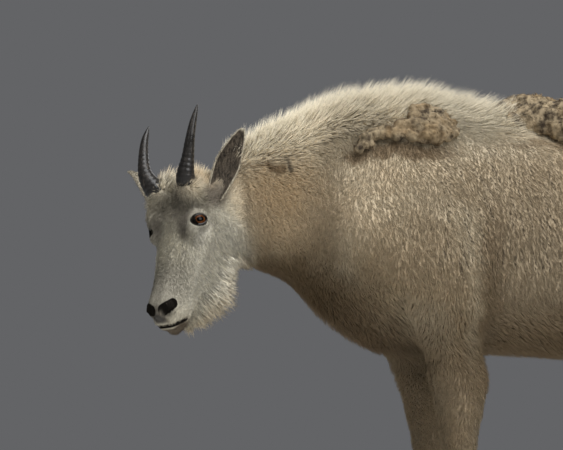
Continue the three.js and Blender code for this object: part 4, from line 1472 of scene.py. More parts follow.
@dataclass(frozen=True)
class EarFinish:
    """The ear's skin, dark and streaked inside its cup, pale at its edge and back."""

    dark: tuple[Colour, Colour] = ((0.030, 0.022, 0.014), (0.135, 0.105, 0.072))
    pale: tuple[Colour, Colour] = ((0.30, 0.26, 0.19), (0.56, 0.50, 0.38))

    def build(self, hair: Effect) -> Material:
        """Makes the material.

        Args:
            hair: the height of short hair.

        Returns:
            The material.
        """
        g = Paint("ear")
        streak = g.noise(g.stretched(g.spot(), (260.0, 260.0, 60.0)), 1.0, 3.0)
        dark = g.mix(g.step(streak, 0.35, 0.7), *self.dark)
        pale = g.mix(g.step(streak, 0.3, 0.7), *self.pale)
        colour = g.times(g.mix(g.stored("inner"), pale, dark), g.stored("shade"))
        normal = g.bump(hair.use(g, Fineness=0.8), 0.5, 0.001)
        return g.done(colour, g.step(streak, 0.2, 0.8, 0.9, 0.7), normal)


@dataclass(frozen=True)
class WoolFinish:
    """Old matted wool, cream on its curls and dark brown in its hollows as painted shade, with brown stains.
    """

    hollow_shade: Colour = (0.045, 0.029, 0.015)
    cream: Colour = (0.36, 0.28, 0.17)
    stain: Colour = (0.25, 0.165, 0.075)

    def build(self) -> Material:
        """Makes the material."""
        g = Paint("old_wool")
        spot = g.spot()
        curl = g.noise(spot, 60.0, 4.0, 0.6)
        # Painted shade: the low parts of the curl pattern, which the bump sinks, are painted near black.
        colour = g.mix(g.step(curl, 0.34, 0.60), self.hollow_shade, self.cream)
        colour = g.mix(g.step(g.noise(spot, 22.0, 3.0), 0.45, 0.7, 0.0, 0.6), colour, self.stain)
        colour = g.times(colour, g.stored("shade"))
        return g.done(colour, g.step(curl, 0.2, 0.8, 0.95, 0.8), g.bump(curl, 0.7, 0.003))


@dataclass(frozen=True)
class HornFinish:
    """Keratin with fine long streaks and worn greyer patches."""

    name: str
    dark: Colour
    pale: Colour
    rough: float

    def build(self) -> Material:
        """Makes the material."""
        g = Paint(self.name)
        spot = g.spot()
        streak = g.noise(g.stretched(spot, (520.0, 520.0, 40.0)), 1.0, 3.0)
        wear = g.noise(spot, 38.0, 4.0, 0.7)
        share = g.math("MULTIPLY", g.step(streak, 0.45, 0.75), g.step(wear, 0.42, 0.7))
        rough = g.step(wear, 0.3, 0.75, self.rough - 0.06, self.rough + 0.2)
        return g.done(g.mix(share, self.dark, self.pale), rough, g.bump(streak, 0.25, 0.0006))


HORN_BLACK = HornFinish("horn", (0.014, 0.012, 0.010), (0.13, 0.105, 0.082), 0.3)
HOOF_BLACK = HornFinish("hoof", (0.022, 0.018, 0.014), (0.085, 0.068, 0.050), 0.55)


@dataclass(frozen=True)
class EyeFinish:
    """An amber-brown iris with a lying oblong pupil in a dark ball."""

    brown: Colour = (0.034, 0.010, 0.004)
    amber: Colour = (0.15, 0.048, 0.011)
    iris_edge: Colour = (0.022, 0.009, 0.005)
    pupil: Colour = (0.002, 0.002, 0.002)
    dark_ball: Colour = (0.012, 0.007, 0.005)
    pupil_half: tuple[float, float] = (0.36, 0.22)

    def build(self) -> Material:
        """Makes the material."""
        g = Paint("eyeball")
        gaze = g.add("ShaderNodeUVMap", uv_map="Gaze").outputs[0]
        x, y = g.add("ShaderNodeSeparateXYZ", {0: gaze}).outputs[:2]
        far = g.vector("LENGTH", {0: gaze}, "Value")
        turn = g.math("MULTIPLY", g.math("ARCTAN2", y, x), 9.0)
        rays = g.add("ShaderNodeCombineXYZ", {"X": turn, "Y": g.math("MULTIPLY", far, 2.0)}).outputs[0]
        colour = g.mix(g.step(g.noise(rays, 1.6, 3.0), 0.3, 0.7), self.brown, self.amber)
        colour = g.mix(g.step(far, 0.5, 0.8), colour, self.iris_edge)
        long, high = (
            g.math("POWER", g.math("ABSOLUTE", g.math("DIVIDE", part, half)), 3.0)
            for part, half in zip((x, y), self.pupil_half)
        )
        colour = g.mix(g.step(g.math("ADD", long, high), 1.25, 0.8), colour, self.pupil)
        colour = g.mix(g.step(far, 0.8, 0.88), colour, self.dark_ball)
        rough = g.step(far, 0.3, 0.9, 0.12, 0.2)
        return g.done(colour, rough, Specular_IOR_Level=0.08, Coat_Weight=0.03, Coat_Roughness=0.03)


@dataclass(frozen=True)
class RimFinish:
    """The bare wet black of the lids' edge."""

    dark: Colour = (0.006, 0.005, 0.004)
    pale: Colour = (0.028, 0.020, 0.016)

    def build(self) -> Material:
        """Makes the material."""
        g = Paint("lid_rim")
        fold = g.noise(g.spot(), 900.0, 2.0)
        rough = g.step(fold, 0.2, 0.8, 0.25, 0.45)
        return g.done(g.mix(fold, self.dark, self.pale), rough, g.bump(fold, 0.4, 0.0004))


@dataclass(frozen=True)
class FloorFinish:
    """A plain pale floor."""

    dark: Colour = (0.56, 0.56, 0.55)
    pale: Colour = (0.61, 0.61, 0.60)

    def build(self) -> Material:
        """Makes the material."""
        g = Paint("pale_floor")
        return g.done(g.mix(g.noise(g.spot(), 3.0, 3.0), self.dark, self.pale), 0.8)


# The coat


def mix(a: Array | float, b: Array | float, share: Array) -> Array:
    """a where the share is 0 and b where it is 1; a may hold a vector in each row."""
    share = share[:, None] if np.ndim(a) == 2 else share
    return a + (np.asarray(b, dtype=float) - a) * share


def along_skin(way: Array, n: Array) -> Array:
    """Directions without their part along the normals."""
    return way - n * (way * n).sum(axis=1)[:, None]


def nearest(points: Array, centres: Array) -> Array:
    """Which centre is nearest to each point.

    Args:
        points: the points.
        centres: the centres.

    Returns:
        The index of one centre for each point.
    """
    tree = KDTree(len(centres))
    for i, centre in enumerate(centres):
        tree.insert(centre, i)
    tree.balance()
    return np.array([tree.find(point)[1] for point in points])


class Place:
    """Where many roots lie on the goat: their points, normals and shares in its parts."""

    def __init__(self, p: Array, n: Array, body: Body) -> None:
        """Works out the shares.

        Args:
            p: design points.
            n: their normals.
            body: the goat's shape.
        """
        self.p, self.n = p, n
        self.h = HEAD.read(p)
        x, y, z = p.T
        u, v, w = self.h.T
        up = n[:, 2]
        self.head = smooth(26, 8, body.face(self.h)) * smooth(-46, -10, u)
        off = 1 - self.head
        under = smooth(0.1, -0.35, (n @ HEAD.turn)[:, 2])
        self.beard = self.head * under * smooth(-92, -112, w) * smooth(0, 46, u) * smooth(252, 232, u)
        middle = np.interp(x, [-680, -585, -440], [-30, -13, 0])
        half = np.interp(x, [-690, -610, -520], [44, 50, 96])
        ridge = smooth(1.0, 0.2, np.abs(y - middle) / half)
        self.crest = off * ridge * smooth(0.0, 0.6, up) * smooth(-60, -150, x)
        self.tail = smooth(10, -2, body.tail(p))
        self.neck = off * smooth(-430, -520, x)
        self.low = smooth(400, 300, z)
        self.foot = smooth(130, 90, z)
        self.belly = smooth(-0.3, -0.75, up) * smooth(300, 340, z) * smooth(520, 450, z)
        self.chest = off * smooth(-380, -450, x) * smooth(600, 500, z)
        self.rump = smooth(300, 390, x) * smooth(400, 480, z)
        back = smooth(150, 220, x) * smooth(70, 100, np.abs(y))
        self.thigh = back * smooth(300, 380, z) * smooth(620, 520, z)
        front = smooth(-420, -370, x) * smooth(-170, -220, x)
        self.arm = front * smooth(560, 470, z) * smooth(60, 90, np.abs(y))
        self.top = smooth(0.55, 0.85, up) * off
        self.flank = off * (1 - self.low) * smooth(-420, -340, x) * smooth(0.75, 0.5, np.abs(up))
        self.eye = from_eyes(self.h)
        self.lid = np.maximum(*(EyeOpening(side).lid(self.h) for side in Side))
        self.muzzle = self.head * smooth(150, 235, u)
        self.poll = self.head * smooth(50, 26, u) * smooth(-34, -8, w) * smooth(40, 20, np.abs(v + 6))
        horns = (self.horn(side, 0.0, 0.0) for side in Side)
        self.horn_base = self.head * smooth(20, 4, np.minimum(*horns)) * (w > -30)
        self.cheek = self.head * smooth(60, 100, u) * smooth(210, 150, u) * smooth(-60, -90, w)

    def horn(self, side: Side, wider: float, longer: float) -> Array:
        """How far roots are from a horn's lower end, made wider by millimetres and longer by a share."""
        base, above = (np.array(at, dtype=float) for at in Horn(side).path[:2])
        return cone(base, above + longer * (above - base), 16.0 + wider, 15.5 + wider)(self.h)

    def dark(self) -> Array:
        """How near each point is to the black edge of a lid, a nostril or the lips."""
        u, v, w = self.h.T
        from_line = np.abs(w + 0.7 - mouth_line(u)) - 3.4 * smooth(*MOUTH_CORNER, u)
        mouth = smooth(233, 244, u) * smooth(1.5, 0.2, from_line) * self.head
        return np.clip(np.maximum(np.maximum(self.lid, self.nostril()), mouth), 0, 1)

    def bare(self) -> Array:
        """How bare the skin is: the nose and the edges of lids, nostrils and lips."""
        u, v, w = self.h.T
        nose = smooth(252, 258, u) * smooth(-72, -66, w) * smooth(16, 10, np.abs(v + 1))
        return np.clip(np.maximum(nose, self.dark()), 0, 1) * self.head

    def nostril(self, wider: float = 0.0) -> Array:
        """How near each root is to the inside of a nostril, or of one that is some millimetres wider."""
        u, v, w = self.h.T
        q = np.stack([u, np.abs(v - 3), w], axis=1)
        return smooth(2.8 + wider, wider, cone((254, 13, -45), (238, 24, -51), 8.6, 7.0)(q))


@dataclass(frozen=True)
class Hair:
    """What the hair of one part of the goat is like, in millimetres and degrees off the skin."""

    length: float
    start_lift: float
    end_lift: float
    width: float
    spacing: float
    shade: float = 1.0


# The last number, shade, is how light a part's hair is painted: raised on the top and the cheek as painted
# light, lowered on the flank and belly partly as painted shade.
FLANK_HAIR = Hair(14, 32, 5, 1.5, 2.45, 0.86)
PART_HAIR = {
    "neck": Hair(13, 46, 24, 1.35, 1.95),
    "chest": Hair(18, 42, 16, 1.7, 2.4),
    "belly": Hair(24, 50, 18, 2.2, 3.4, 0.95),
    "top": Hair(17, 38, 13, 1.5, 2.35, 1.2),
    "rump": Hair(25, 46, 10, 2.2, 3.2),
    "thigh": Hair(28, 44, 8, 2.1, 3.1),
    "arm": Hair(25, 44, 10, 2.0, 2.8),
    "low": Hair(14, 38, 8, 1.8, 2.6),
    "foot": Hair(11, 36, 8, 1.7, 2.5),
    "tail": Hair(44, 34, 6, 2.2, 2.6),
    "crest": Hair(52, 66, 44, 1.35, 2.15, 0.88),
    "head": Hair(11, 34, 12, 1.1, 1.8),
    "cheek": Hair(17, 34, 14, 1.35, 2.0, 1.16),
    "muzzle": Hair(4.0, 28, 10, 0.95, 1.5),
    "horn_base": Hair(15, 62, 44, 1.2, 1.7),
    "poll": Hair(34, 72, 52, 1.4, 1.9, 1.05),
    "beard": Hair(40, 56, 46, 1.5, 2.1),
}


FLANK_WAY = (0.2, 0.0, -1.0)
PART_WAYS = {
    "neck": (0.8, 0.0, -0.62),
    "chest": (0.35, 0.0, -1.0),
    "belly": (1.0, 0.0, -0.3),
    "rump": (0.35, 0.0, -1.0),
    "thigh": (0.55, 0.0, -0.9),
    "arm": (0.30, 0.0, -1.0),
    "low": (0.14, 0.0, -1.0),
    "tail": (0.25, 0.0, -1.0),
}

NEAR_EYE_LENGTH = 5.5
NEAR_EYE_LIFT = 6.0
CHIN_LENGTH = 7.0
BEARD_LENGTHS = ((0, 14), (24, 18), (94, 24), (130, 36), (146, 50), (183, 60), (215, 48), (240, 12))


def mixed_hair(place: Place, key: str) -> Array:
    """One of the hair's numbers, mixed by the roots' shares in the parts.

    Args:
        place: where the roots lie.
        key: the number's name.

    Returns:
        The number at each root.
    """
    values = np.full(len(place.p), getattr(FLANK_HAIR, key), dtype=float)
    for part, hair in PART_HAIR.items():
        values = mix(values, getattr(hair, key), getattr(place, part))
    return values


class Growth:
    """The hair's size and direction at many roots."""

    def __init__(self, place: Place, draw: Draw) -> None:
        """Mixes the parts' hair by each root's shares.

        Args:
            place: where the roots lie.
            draw: the seeded draw.
        """
        self.place, self.draw = place, draw
        x = place.p[:, 0]
        self.width, self.start_lift = mixed_hair(place, "width"), mixed_hair(place, "start_lift")
        self.end_lift = mixed_hair(place, "end_lift")
        # Painted light and shade: each part's hair takes its painted shade, and the crest's hair over the
        # neck is painted lighter still.
        self.shade = mixed_hair(place, "shade") * (1 + 0.16 * place.crest * smooth(-430, -500, x))
        over_hump = place.crest * smooth(-520, -420, x) * smooth(-90, -150, x)
        self.length = mixed_hair(place, "length") + 10 * over_hump
        near_eye = smooth(34, 20, place.eye)
        self.length = mix(self.length, NEAR_EYE_LENGTH, near_eye)
        self.end_lift = mix(self.end_lift, NEAR_EYE_LIFT, near_eye)
        chin = place.head * smooth(226, 240, place.h[:, 0]) * smooth(-92, -102, place.h[:, 2])
        self.length = mix(self.length, CHIN_LENGTH, chin)
        self.length = mix(self.length, np.interp(place.h[:, 0], *zip(*BEARD_LENGTHS)), place.beard)

    def ways(self) -> Array:
        """The way the hair lies at each root, along the skin.

        Returns:
            Unit vectors in the design frame.
        """
        s = self.place
        u, v, w = s.h.T
        flat = np.zeros(len(u))
        across = np.clip(s.p[:, 1] / 60, -1, 1)
        way = np.tile(FLANK_WAY, (len(u), 1))
        way = mix(way, np.stack([flat + 0.6, 0.3 * across, flat - 0.5], axis=1), s.top)
        for part, lie in PART_WAYS.items():
            way = mix(way, lie, getattr(s, part))
        way = mix(way, np.stack([flat + 0.55, 0.4 * across, flat], axis=1), s.crest)
        down = smooth(-20, -80, w)
        side = np.sign(v) * smooth(4, 24, np.abs(v))
        face = np.stack([0.9 - 0.55 * down, 0.45 * side * (1 - down), -0.1 - 0.8 * down], axis=1)
        face = mix(face, (-0.4, 0.0, -0.2), smooth(66, 44, u))
        face = mix(face, (0.1, 0.0, -1.0), s.beard)
        way = unit(along_skin(mix(way, face @ HEAD.turn.T, s.head), s.n))
        beside = np.cross(s.n, way)
        turn = (0.14 * ripple(s.p, 70, 3) + 0.06 * ripple(s.p, 24, 4)) * (1 - 0.4 * s.neck)
        turn = turn * (1 + 2.2 * s.arm) * (1 - 0.4 * s.head) + self.draw.normal(0, 0.07, len(u))
        return way * np.cos(turn)[:, None] + beside * np.sin(turn)[:, None]


@dataclass
class Tufts:
    """Many tapered blades of hair, each a prism of three sides that ends in a point."""

    roots: Array
    normals: Array
    ways: Array
    length: Array
    start_lift: Array
    end_lift: Array
    width: Array
    shade: Array
    pull: Array
    wave: float = 0.06
    rings: int = 2
    sunk: float = 1.2
    patch: float = 0.0015
    inner: Array | None = None

    def mesh(self, name: str, spots: Array, draw: Draw) -> Mesh:
        """Makes the tufts as one mesh.

        Args:
            name: the mesh's name.
            spots: each root's place on the unwrap.
            draw: the seeded draw.

        Returns:
            The mesh, in row-frame metres, with its shade and its OFBake map.
        """
        count, rings = len(self.roots), self.rings
        first, last = self._way(self.start_lift), self._way(self.end_lift)
        side = unit(np.cross(first, self.normals))
        top = np.cross(side, first)
        spin = draw.uniform(-0.8, 0.8, count)[:, None]
        side, top = side * np.cos(spin) + top * np.sin(spin), top * np.cos(spin) - side * np.sin(spin)
        phase = draw.uniform(0, 2 * math.pi, count)
        points = np.empty((count, rings * 3 + 1, 3))
        shades = np.empty((count, rings * 3 + 1))
        offsets = np.zeros((rings * 3 + 1, 2))
        for ring in range(rings + 1):
            t = ring / rings
            sway = self.wave * t * np.sin(phase + 4.0 * t) * self.length
            at = self.roots - self.normals * self.sunk * (1 - t)
            at = at + self.length[:, None] * (first * (t - t * t / 2) + last * (t * t / 2))
            at = at + self.pull * (t * t) + side * sway[:, None]
            # Painted shade: each blade is painted darker towards its root and lighter at its tip.
            shade = self.shade * (0.86 + 0.2 * t**0.7)
            if ring == rings:
                points[:, -1], shades[:, -1], offsets[-1] = at, shade, (0, self.patch)
                continue
            half = self.width[:, None] * 0.5 * (1 - 0.75 * t * t)
            corners = (at + side * half, at + top * half * 0.7, at - side * half)
            for k, corner in enumerate(corners):
                points[:, ring * 3 + k] = corner
                shades[:, ring * 3 + k] = shade
                offsets[ring * 3 + k] = ((k - 1) * self.patch, (2 * t - 1) * self.patch)
        return self._assemble(name, points, shades, spots, offsets)

    def _way(self, lift: Array) -> Array:
        """The ways of the hair at a lift off the skin, in degrees."""
        a = np.radians(lift)[:, None]
        return self.ways * np.cos(a) + self.normals * np.sin(a)

    def _assemble(self, name: str, points: Array, shades: Array, spots: Array, offsets: Array) -> Mesh:
        """Joins all the blades' points into one mesh.

        Args:
            name: the mesh's name.
            points: each blade's points, in design millimetres.
            shades: how light each point is.
            spots: each root's place on the unwrap.
            offsets: where each point of a blade lies in its patch of the unwrap.

        Returns:
            The mesh.
        """
        count, each = points.shape[:2]
        rings = self.rings
        faces = [(0, 1, 2)]
        for ring in range(rings - 1):
            for k in range(3):
                a, b = ring * 3 + k, ring * 3 + (k + 1) % 3
                faces += [(a, a + 3, b + 3), (a, b + 3, b)]
        base = (rings - 1) * 3
        faces += [(base + k, each - 1, base + (k + 1) % 3) for k in range(3)]
        corners = (np.array(faces).ravel()[None] + np.arange(count)[:, None] * each).ravel()
        mesh = bpy.data.meshes.new(name)
        mesh.vertices.add(count * each)
        mesh.vertices.foreach_set("co", to_row(points.reshape(-1, 3)).ravel())
        mesh.loops.add(len(corners))
        mesh.loops.foreach_set("vertex_index", corners)
        mesh.polygons.add(len(corners) // 3)
        mesh.polygons.foreach_set("loop_start", np.arange(0, len(corners), 3))
        mesh.update(calc_edges=True)
        mesh.shade_smooth()
        store(mesh, "shade", shades.ravel())
        if self.inner is not None:
            store(mesh, "inner", np.repeat(self.inner, each))
        uv = mesh.uv_layers.new(name="OFBake")
        places = (spots[:, None] + offsets[None]).reshape(-1, 2)[corners]
        uv.data.foreach_set("uv", places.ravel())
        return mesh


class Unwrap:
    """An unwrap of the part of a skin that one piece of the coat grows from."""

    def __init__(self, skin: Mesh, roots: Array, reach: float = 0.03) -> None:
        """Unwraps the faces that lie near the roots.

        Args:
            skin: the skin's shape, in metres.
            roots: the roots, in metres.
            reach: how far from a root a face may lie.
        """
        part = bmesh.new()
        part.from_mesh(skin)
        centres = np.array([f.calc_center_median() for f in part.faces])
        some = roots[:: max(1, len(roots) // 4000)]
        near = np.linalg.norm(some[nearest(centres, some)] - centres, axis=1) < reach
        far = [f for f, close in zip(part.faces, near) if not close]
        bmesh.ops.delete(part, geom=far, context="FACES")
        bmesh.ops.triangulate(part, faces=part.faces)
        mesh = bpy.data.meshes.new("unwrap")
        part.to_mesh(mesh)
        part.free()
        piece = loose(mesh, "unwrap")
        bpy.context.view_layer.objects.active = piece
        bpy.ops.object.mode_set(mode="EDIT")
        bpy.ops.mesh.select_all(action="SELECT")
        bpy.ops.uv.smart_project(angle_limit=math.radians(66), island_margin=0.006)
        bpy.ops.object.mode_set(mode="OBJECT")
        corners = np.empty(len(mesh.loops), dtype=np.int32)
        mesh.loops.foreach_get("vertex_index", corners)
        uv = np.empty(len(mesh.loops) * 2)
        mesh.uv_layers.active.data.foreach_get("uv", uv)
        self.uv = uv.reshape(-1, 3, 2)
        self.points = points_of(mesh)[corners].reshape(-1, 3, 3)
        self.tree = BVHTree.FromPolygons(points_of(mesh).tolist(), corners.reshape(-1, 3).tolist())
        bpy.data.objects.remove(piece)
        bpy.data.meshes.remove(mesh)

    def spots(self, roots: Array) -> Array:
        """Each root's place on the unwrap.

        Args:
            roots: the roots, in metres.

        Returns:
            Map coordinates.
        """
        found = [self.tree.find_nearest(root) for root in roots]
        face = np.array([hit[2] for hit in found])
        q = np.array([hit[0] for hit in found])
        a, b, c = np.moveaxis(self.points[face], 1, 0)
        ab, ac, aq = b - a, c - a, q - a
        dot = lambda m, n: (m * n).sum(axis=1)
        whole = np.maximum(dot(ab, ab) * dot(ac, ac) - dot(ab, ac) ** 2, 1e-18)
        s = (dot(ac, ac) * dot(ab, aq) - dot(ab, ac) * dot(ac, aq)) / whole
        t = (dot(ab, ab) * dot(ac, aq) - dot(ab, ac) * dot(ab, aq)) / whole
        share = np.clip(np.stack([1 - s - t, s, t], axis=1), 0, 1)
        return np.clip((self.uv[face] * share[:, :, None]).sum(axis=1), 0.002, 0.998)


def scatter(mesh: Mesh, gap: Callable[[Array, Array], Array], draw: Draw) -> tuple[Array, Array]:
    """Even seeded points on a mesh.

    Args:
        mesh: the mesh, in metres.
        gap: the spacing wanted at given design points and normals, in millimetres.
        draw: the seeded draw.

    Returns:
        The points in design millimetres and their normals.
    """
    mesh.calc_loop_triangles()
    tris = np.empty(len(mesh.loop_triangles) * 3, dtype=np.int32)
    mesh.loop_triangles.foreach_get("vertices", tris)
    tris = tris.reshape(-1, 3)
    normals, points = points_of(mesh, "normal"), to_design(points_of(mesh))
    a, b, c = (points[tris[:, k]] for k in range(3))
    area = np.linalg.norm(np.cross(b - a, c - a), axis=1) / 2
    wanted = np.cumsum(area / gap((a + b + c) / 3, unit(normals[tris].sum(axis=1))) ** 2)
    count = int(wanted[-1])
    picks = (np.arange(count) + draw.random(count)) / count * wanted[-1]
    face = np.minimum(np.searchsorted(wanted, picks), len(tris) - 1)
    s, t = draw.random(count), draw.random(count)
    over = s + t > 1
    s, t = np.where(over, 1 - s, s), np.where(over, 1 - t, t)
    share = np.stack([1 - s - t, s, t], axis=1)
    p = (points[tris[face]] * share[:, :, None]).sum(axis=1)
    return p, unit((normals[tris[face]] * share[:, :, None]).sum(axis=1))


@dataclass
class Coat:
    """The whole coat of the body, in pieces that each stay a workable size."""

    body: Body
    skin: Mesh
    seed: int = 11
    clump: float = 11.0
    sizes: tuple[float, float] = (0.78, 1.12)
    shades: tuple[float, float] = (0.93, 1.06)
    fold_gap: float = 11.0
    # How much darker tufts in a crease of the flank are painted, as painted shade in the crease.
    fold_shade: float = 0.72
    nostril_margin: float = 1.6
    eye_margin: float = 1.0
    coarse_voxel: float = 0.016
    rings: dict[str, int] = field(default_factory=lambda: {"crest": 2, "beard": 3, "tail": 2})

    def build(self, material: Material) -> None:
        """Grows every piece of the coat.

        Args:
            material: the hair's finish.
        """
        draw = np.random.default_rng(self.seed)
        p, n = scatter(self.skin, self._gap, draw)
        coarse = self._coarse()
        place = Place(p, n, self.body)
        keep = (place.bare() < 0.5) & (place.nostril(self.nostril_margin) < 0.5)
        for side in Side:
            keep &= place.horn(side, -1.0, 0.5) > 0
        keep &= (place.eye > EYE_RADIUS + self.eye_margin) & (place.lid < 0.5)
        p, n = p[keep], n[keep]
        place = Place(p, n, self.body)
        growth = Growth(place, draw)
        ways = growth.ways()
        pull, edge = self._clumps(place, draw)
        fold = self._folds(place, p + ways * growth.length[:, None] * 0.55)
        size = draw.uniform(*self.sizes, len(p)) * (1 - 0.2 * edge) * (1 - 0.3 * fold)
        fine = 1 + draw.normal(0, 0.11, len(p)) * place.head
        # Painted shade: blades near the edge of their clump and in the flank's creases are painted darker.
        painted_gap_shade = mix(mix(0.14, 0.05, np.maximum(place.crest, place.top)), 0.26, place.head)
        shade = growth.shade * fine * draw.uniform(*self.shades, len(p)) * (1 - painted_gap_shade * edge)
        shade = shade * (1 - self.fold_shade * fold)
        for name, members in self._pieces(place).items():
            if not members.any():
                continue
            rings = self.rings.get(name, 1)
            numbers = (growth.length * size, growth.start_lift, growth.end_lift, growth.width, shade, pull)
            each = (values[members] for values in (p, n, ways, *numbers))
            tufts = Tufts(*each, wave=0.05 * rings, rings=rings)
            spots = Unwrap(coarse, to_row(p[members])).spots(to_row(p[members]))
            show(tufts.mesh(name, spots, draw), f"coat_{name}", material)

    def _gap(self, p: Array, n: Array) -> Array:
        """The spacing of the roots at given points."""
        return mixed_hair(Place(p, n, self.body), "spacing")

    def _coarse(self) -> Mesh:
        """A coarse copy of the skin's shape, to unwrap."""
        piece = loose(self.skin.copy(), "coarse")
        modify(piece, "REMESH", mode="VOXEL", voxel_size=self.coarse_voxel)
        return finished(piece, "coarse")

    def _clumps(self, place: Place, draw: Draw) -> tuple[Array, Array]:
        """How far each tip is drawn to its clump, and how near the clump's edge it is.

        Args:
            place: where the roots lie.
            draw: the seeded draw.

        Returns:
            The pull in millimetres, and shares from 0 to 1.
        """
        pitch = mix(mix(self.clump, 8.0, place.neck), 5.0, place.head)
        pitch = mix(pitch, 10.0, np.maximum(place.beard, place.crest))
        gap = self._gap(place.p, place.n)
        centres = np.flatnonzero(draw.random(len(pitch)) < (gap / pitch) ** 2)
        away = place.p[centres][nearest(place.p, place.p[centres])] - place.p
        far = np.linalg.norm(away, axis=1)
        share = mix(mix(0.13, 0.26, place.head), 0.34, place.beard)
        share = share * np.minimum(1.0, 1.2 * pitch / np.maximum(far, 1e-3))
        return away * share[:, None], np.clip(far / pitch / 0.9, 0, 1) ** 2

    def _folds(self, place: Place, middles: Array) -> Array:
        """How deep in an upright crease of the flank each tuft lies.

        Args:
            place: where the roots lie.
            middles: the design points of the tufts' middles.

        Returns:
            Shares from 0 to 1.
        """
        x, _, z = middles.T
        where = smooth(-330, -270, x) * smooth(470, 520, z) * smooth(760, 715, z) * smooth(320, 240, x)
        where = where * place.flank
        run = (x + 0.2 * z + 8 * ripple(middles * (1, 1, 0.5), 80, 17)) / self.fold_gap
        line = np.abs(run - np.round(run)) * self.fold_gap
        apart = np.stack([np.round(run) * 97.0, np.zeros(len(x)), z], axis=1)
        return where * smooth(2.8, 1.2, line) * smooth(-0.1, 0.35, ripple(apart, 45, 21))

    def _pieces(self, place: Place) -> dict[str, Array]:
        """Which roots each piece of the coat holds.

        Args:
            place: where the roots lie.

        Returns:
            A mask for each piece's name, no root in two.
        """
        x, y, z = place.p.T
        rules = {
            "tail": place.tail > 0.5,
            "beard": place.beard > 0.5,
            "face_left": (place.head > 0.5) & (place.h[:, 1] > 0),
            "face_right": place.head > 0.5,
            "crest": place.crest > 0.45,
            "neck": x < -470,
        }
        pairs = {
            "foreleg": (x < 40) & (z < 360),
            "hindleg": (x >= 40) & (z < 420) & (np.abs(y) > 34),
            "chest": x < -230,
            "barrel": x < 170,
            "rump": x < np.inf,
        }
        for part, rule in pairs.items():
            rules[f"{part}_left"], rules[f"{part}_right"] = rule & (y < 0), rule
        free = np.ones(len(x), dtype=bool)
        pieces = {}
        for name, rule in rules.items():
            pieces[name] = free & rule
            free &= ~rule
        return pieces


@dataclass
class EarCoat:
    """The hair of one ear: short on its back, a fringe at its edge, long in its cup."""

    ear: Ear
    spacing: float = 2.1
    start_lift: float = 26.0
    end_lift: float = 10.0
    hair_width: float = 1.2

    def build(self, skin: Mesh, material: Material) -> None:
        """Grows the ear's hair.

        Args:
            skin: the ear's own mesh.
            material: the hair's finish.
        """
        draw = np.random.default_rng(31 + self.ear.side.value)
        p, n = scatter(skin, lambda p, n: np.full(len(p), self.spacing), draw)
        inner, edge, t = self.ear.shares(p, n)
        along, front, across = self.ear.axes
        outward = np.sign((p - self.ear.root) @ across)[:, None] * across
        way = mix(np.tile(along, (len(p), 1)), along * 0.75 + outward, inner * edge)
        way = along_skin(way, n)
        length = mix(mix(6.0, 8.0, inner), 6.0, edge) * draw.uniform(0.7, 1.15, len(p)) * smooth(1.04, 0.9, t)
        length *= mix(1.0, 1.7, inner * smooth(0.3, 0.05, t)) * mix(1.0, 0.5, inner * smooth(0.55, 0.75, t))
        one = np.ones(len(p))
        tufts = Tufts(
            p, n, unit(way + draw.normal(0, 0.12, way.shape)), np.maximum(length, 2.5), one * self.start_lift,
            one * self.end_lift, one * self.hair_width, draw.uniform(0.8, 1.1, len(p)), np.zeros((len(p), 3)),
            sunk=0.5, rings=1, inner=inner * (1 - edge),
        )
        name = f"ear_{self.ear.side.word}"
        spots = Unwrap(skin, to_row(p)).spots(to_row(p))
        show(tufts.mesh(name, spots, draw), f"coat_{name}", material)


# The old wool that still clings to the goat


def emerge(surface: Field, start: Array, way: Array) -> tuple[Array, Array]:
    """Where rays from inside a field leave it.

    Args:
        surface: the field.
        start: the rays' first points.
        way: their directions.

    Returns:
        The points on the surface and its normals there.
    """
    step = unit(way)
    p = start.astype(float)
    for _ in range(60):
        p += step * np.maximum(-surface(p), 0.0)[:, None] * 0.8
    return p, unit(Sculptor(surface).read(p)[1])


@dataclass(frozen=True)
class Lump:
    """One curl of matted wool: where it sits, its size and how flat it is."""

    at: Array
    out: Array
    size: float
    flat: float = 0.66


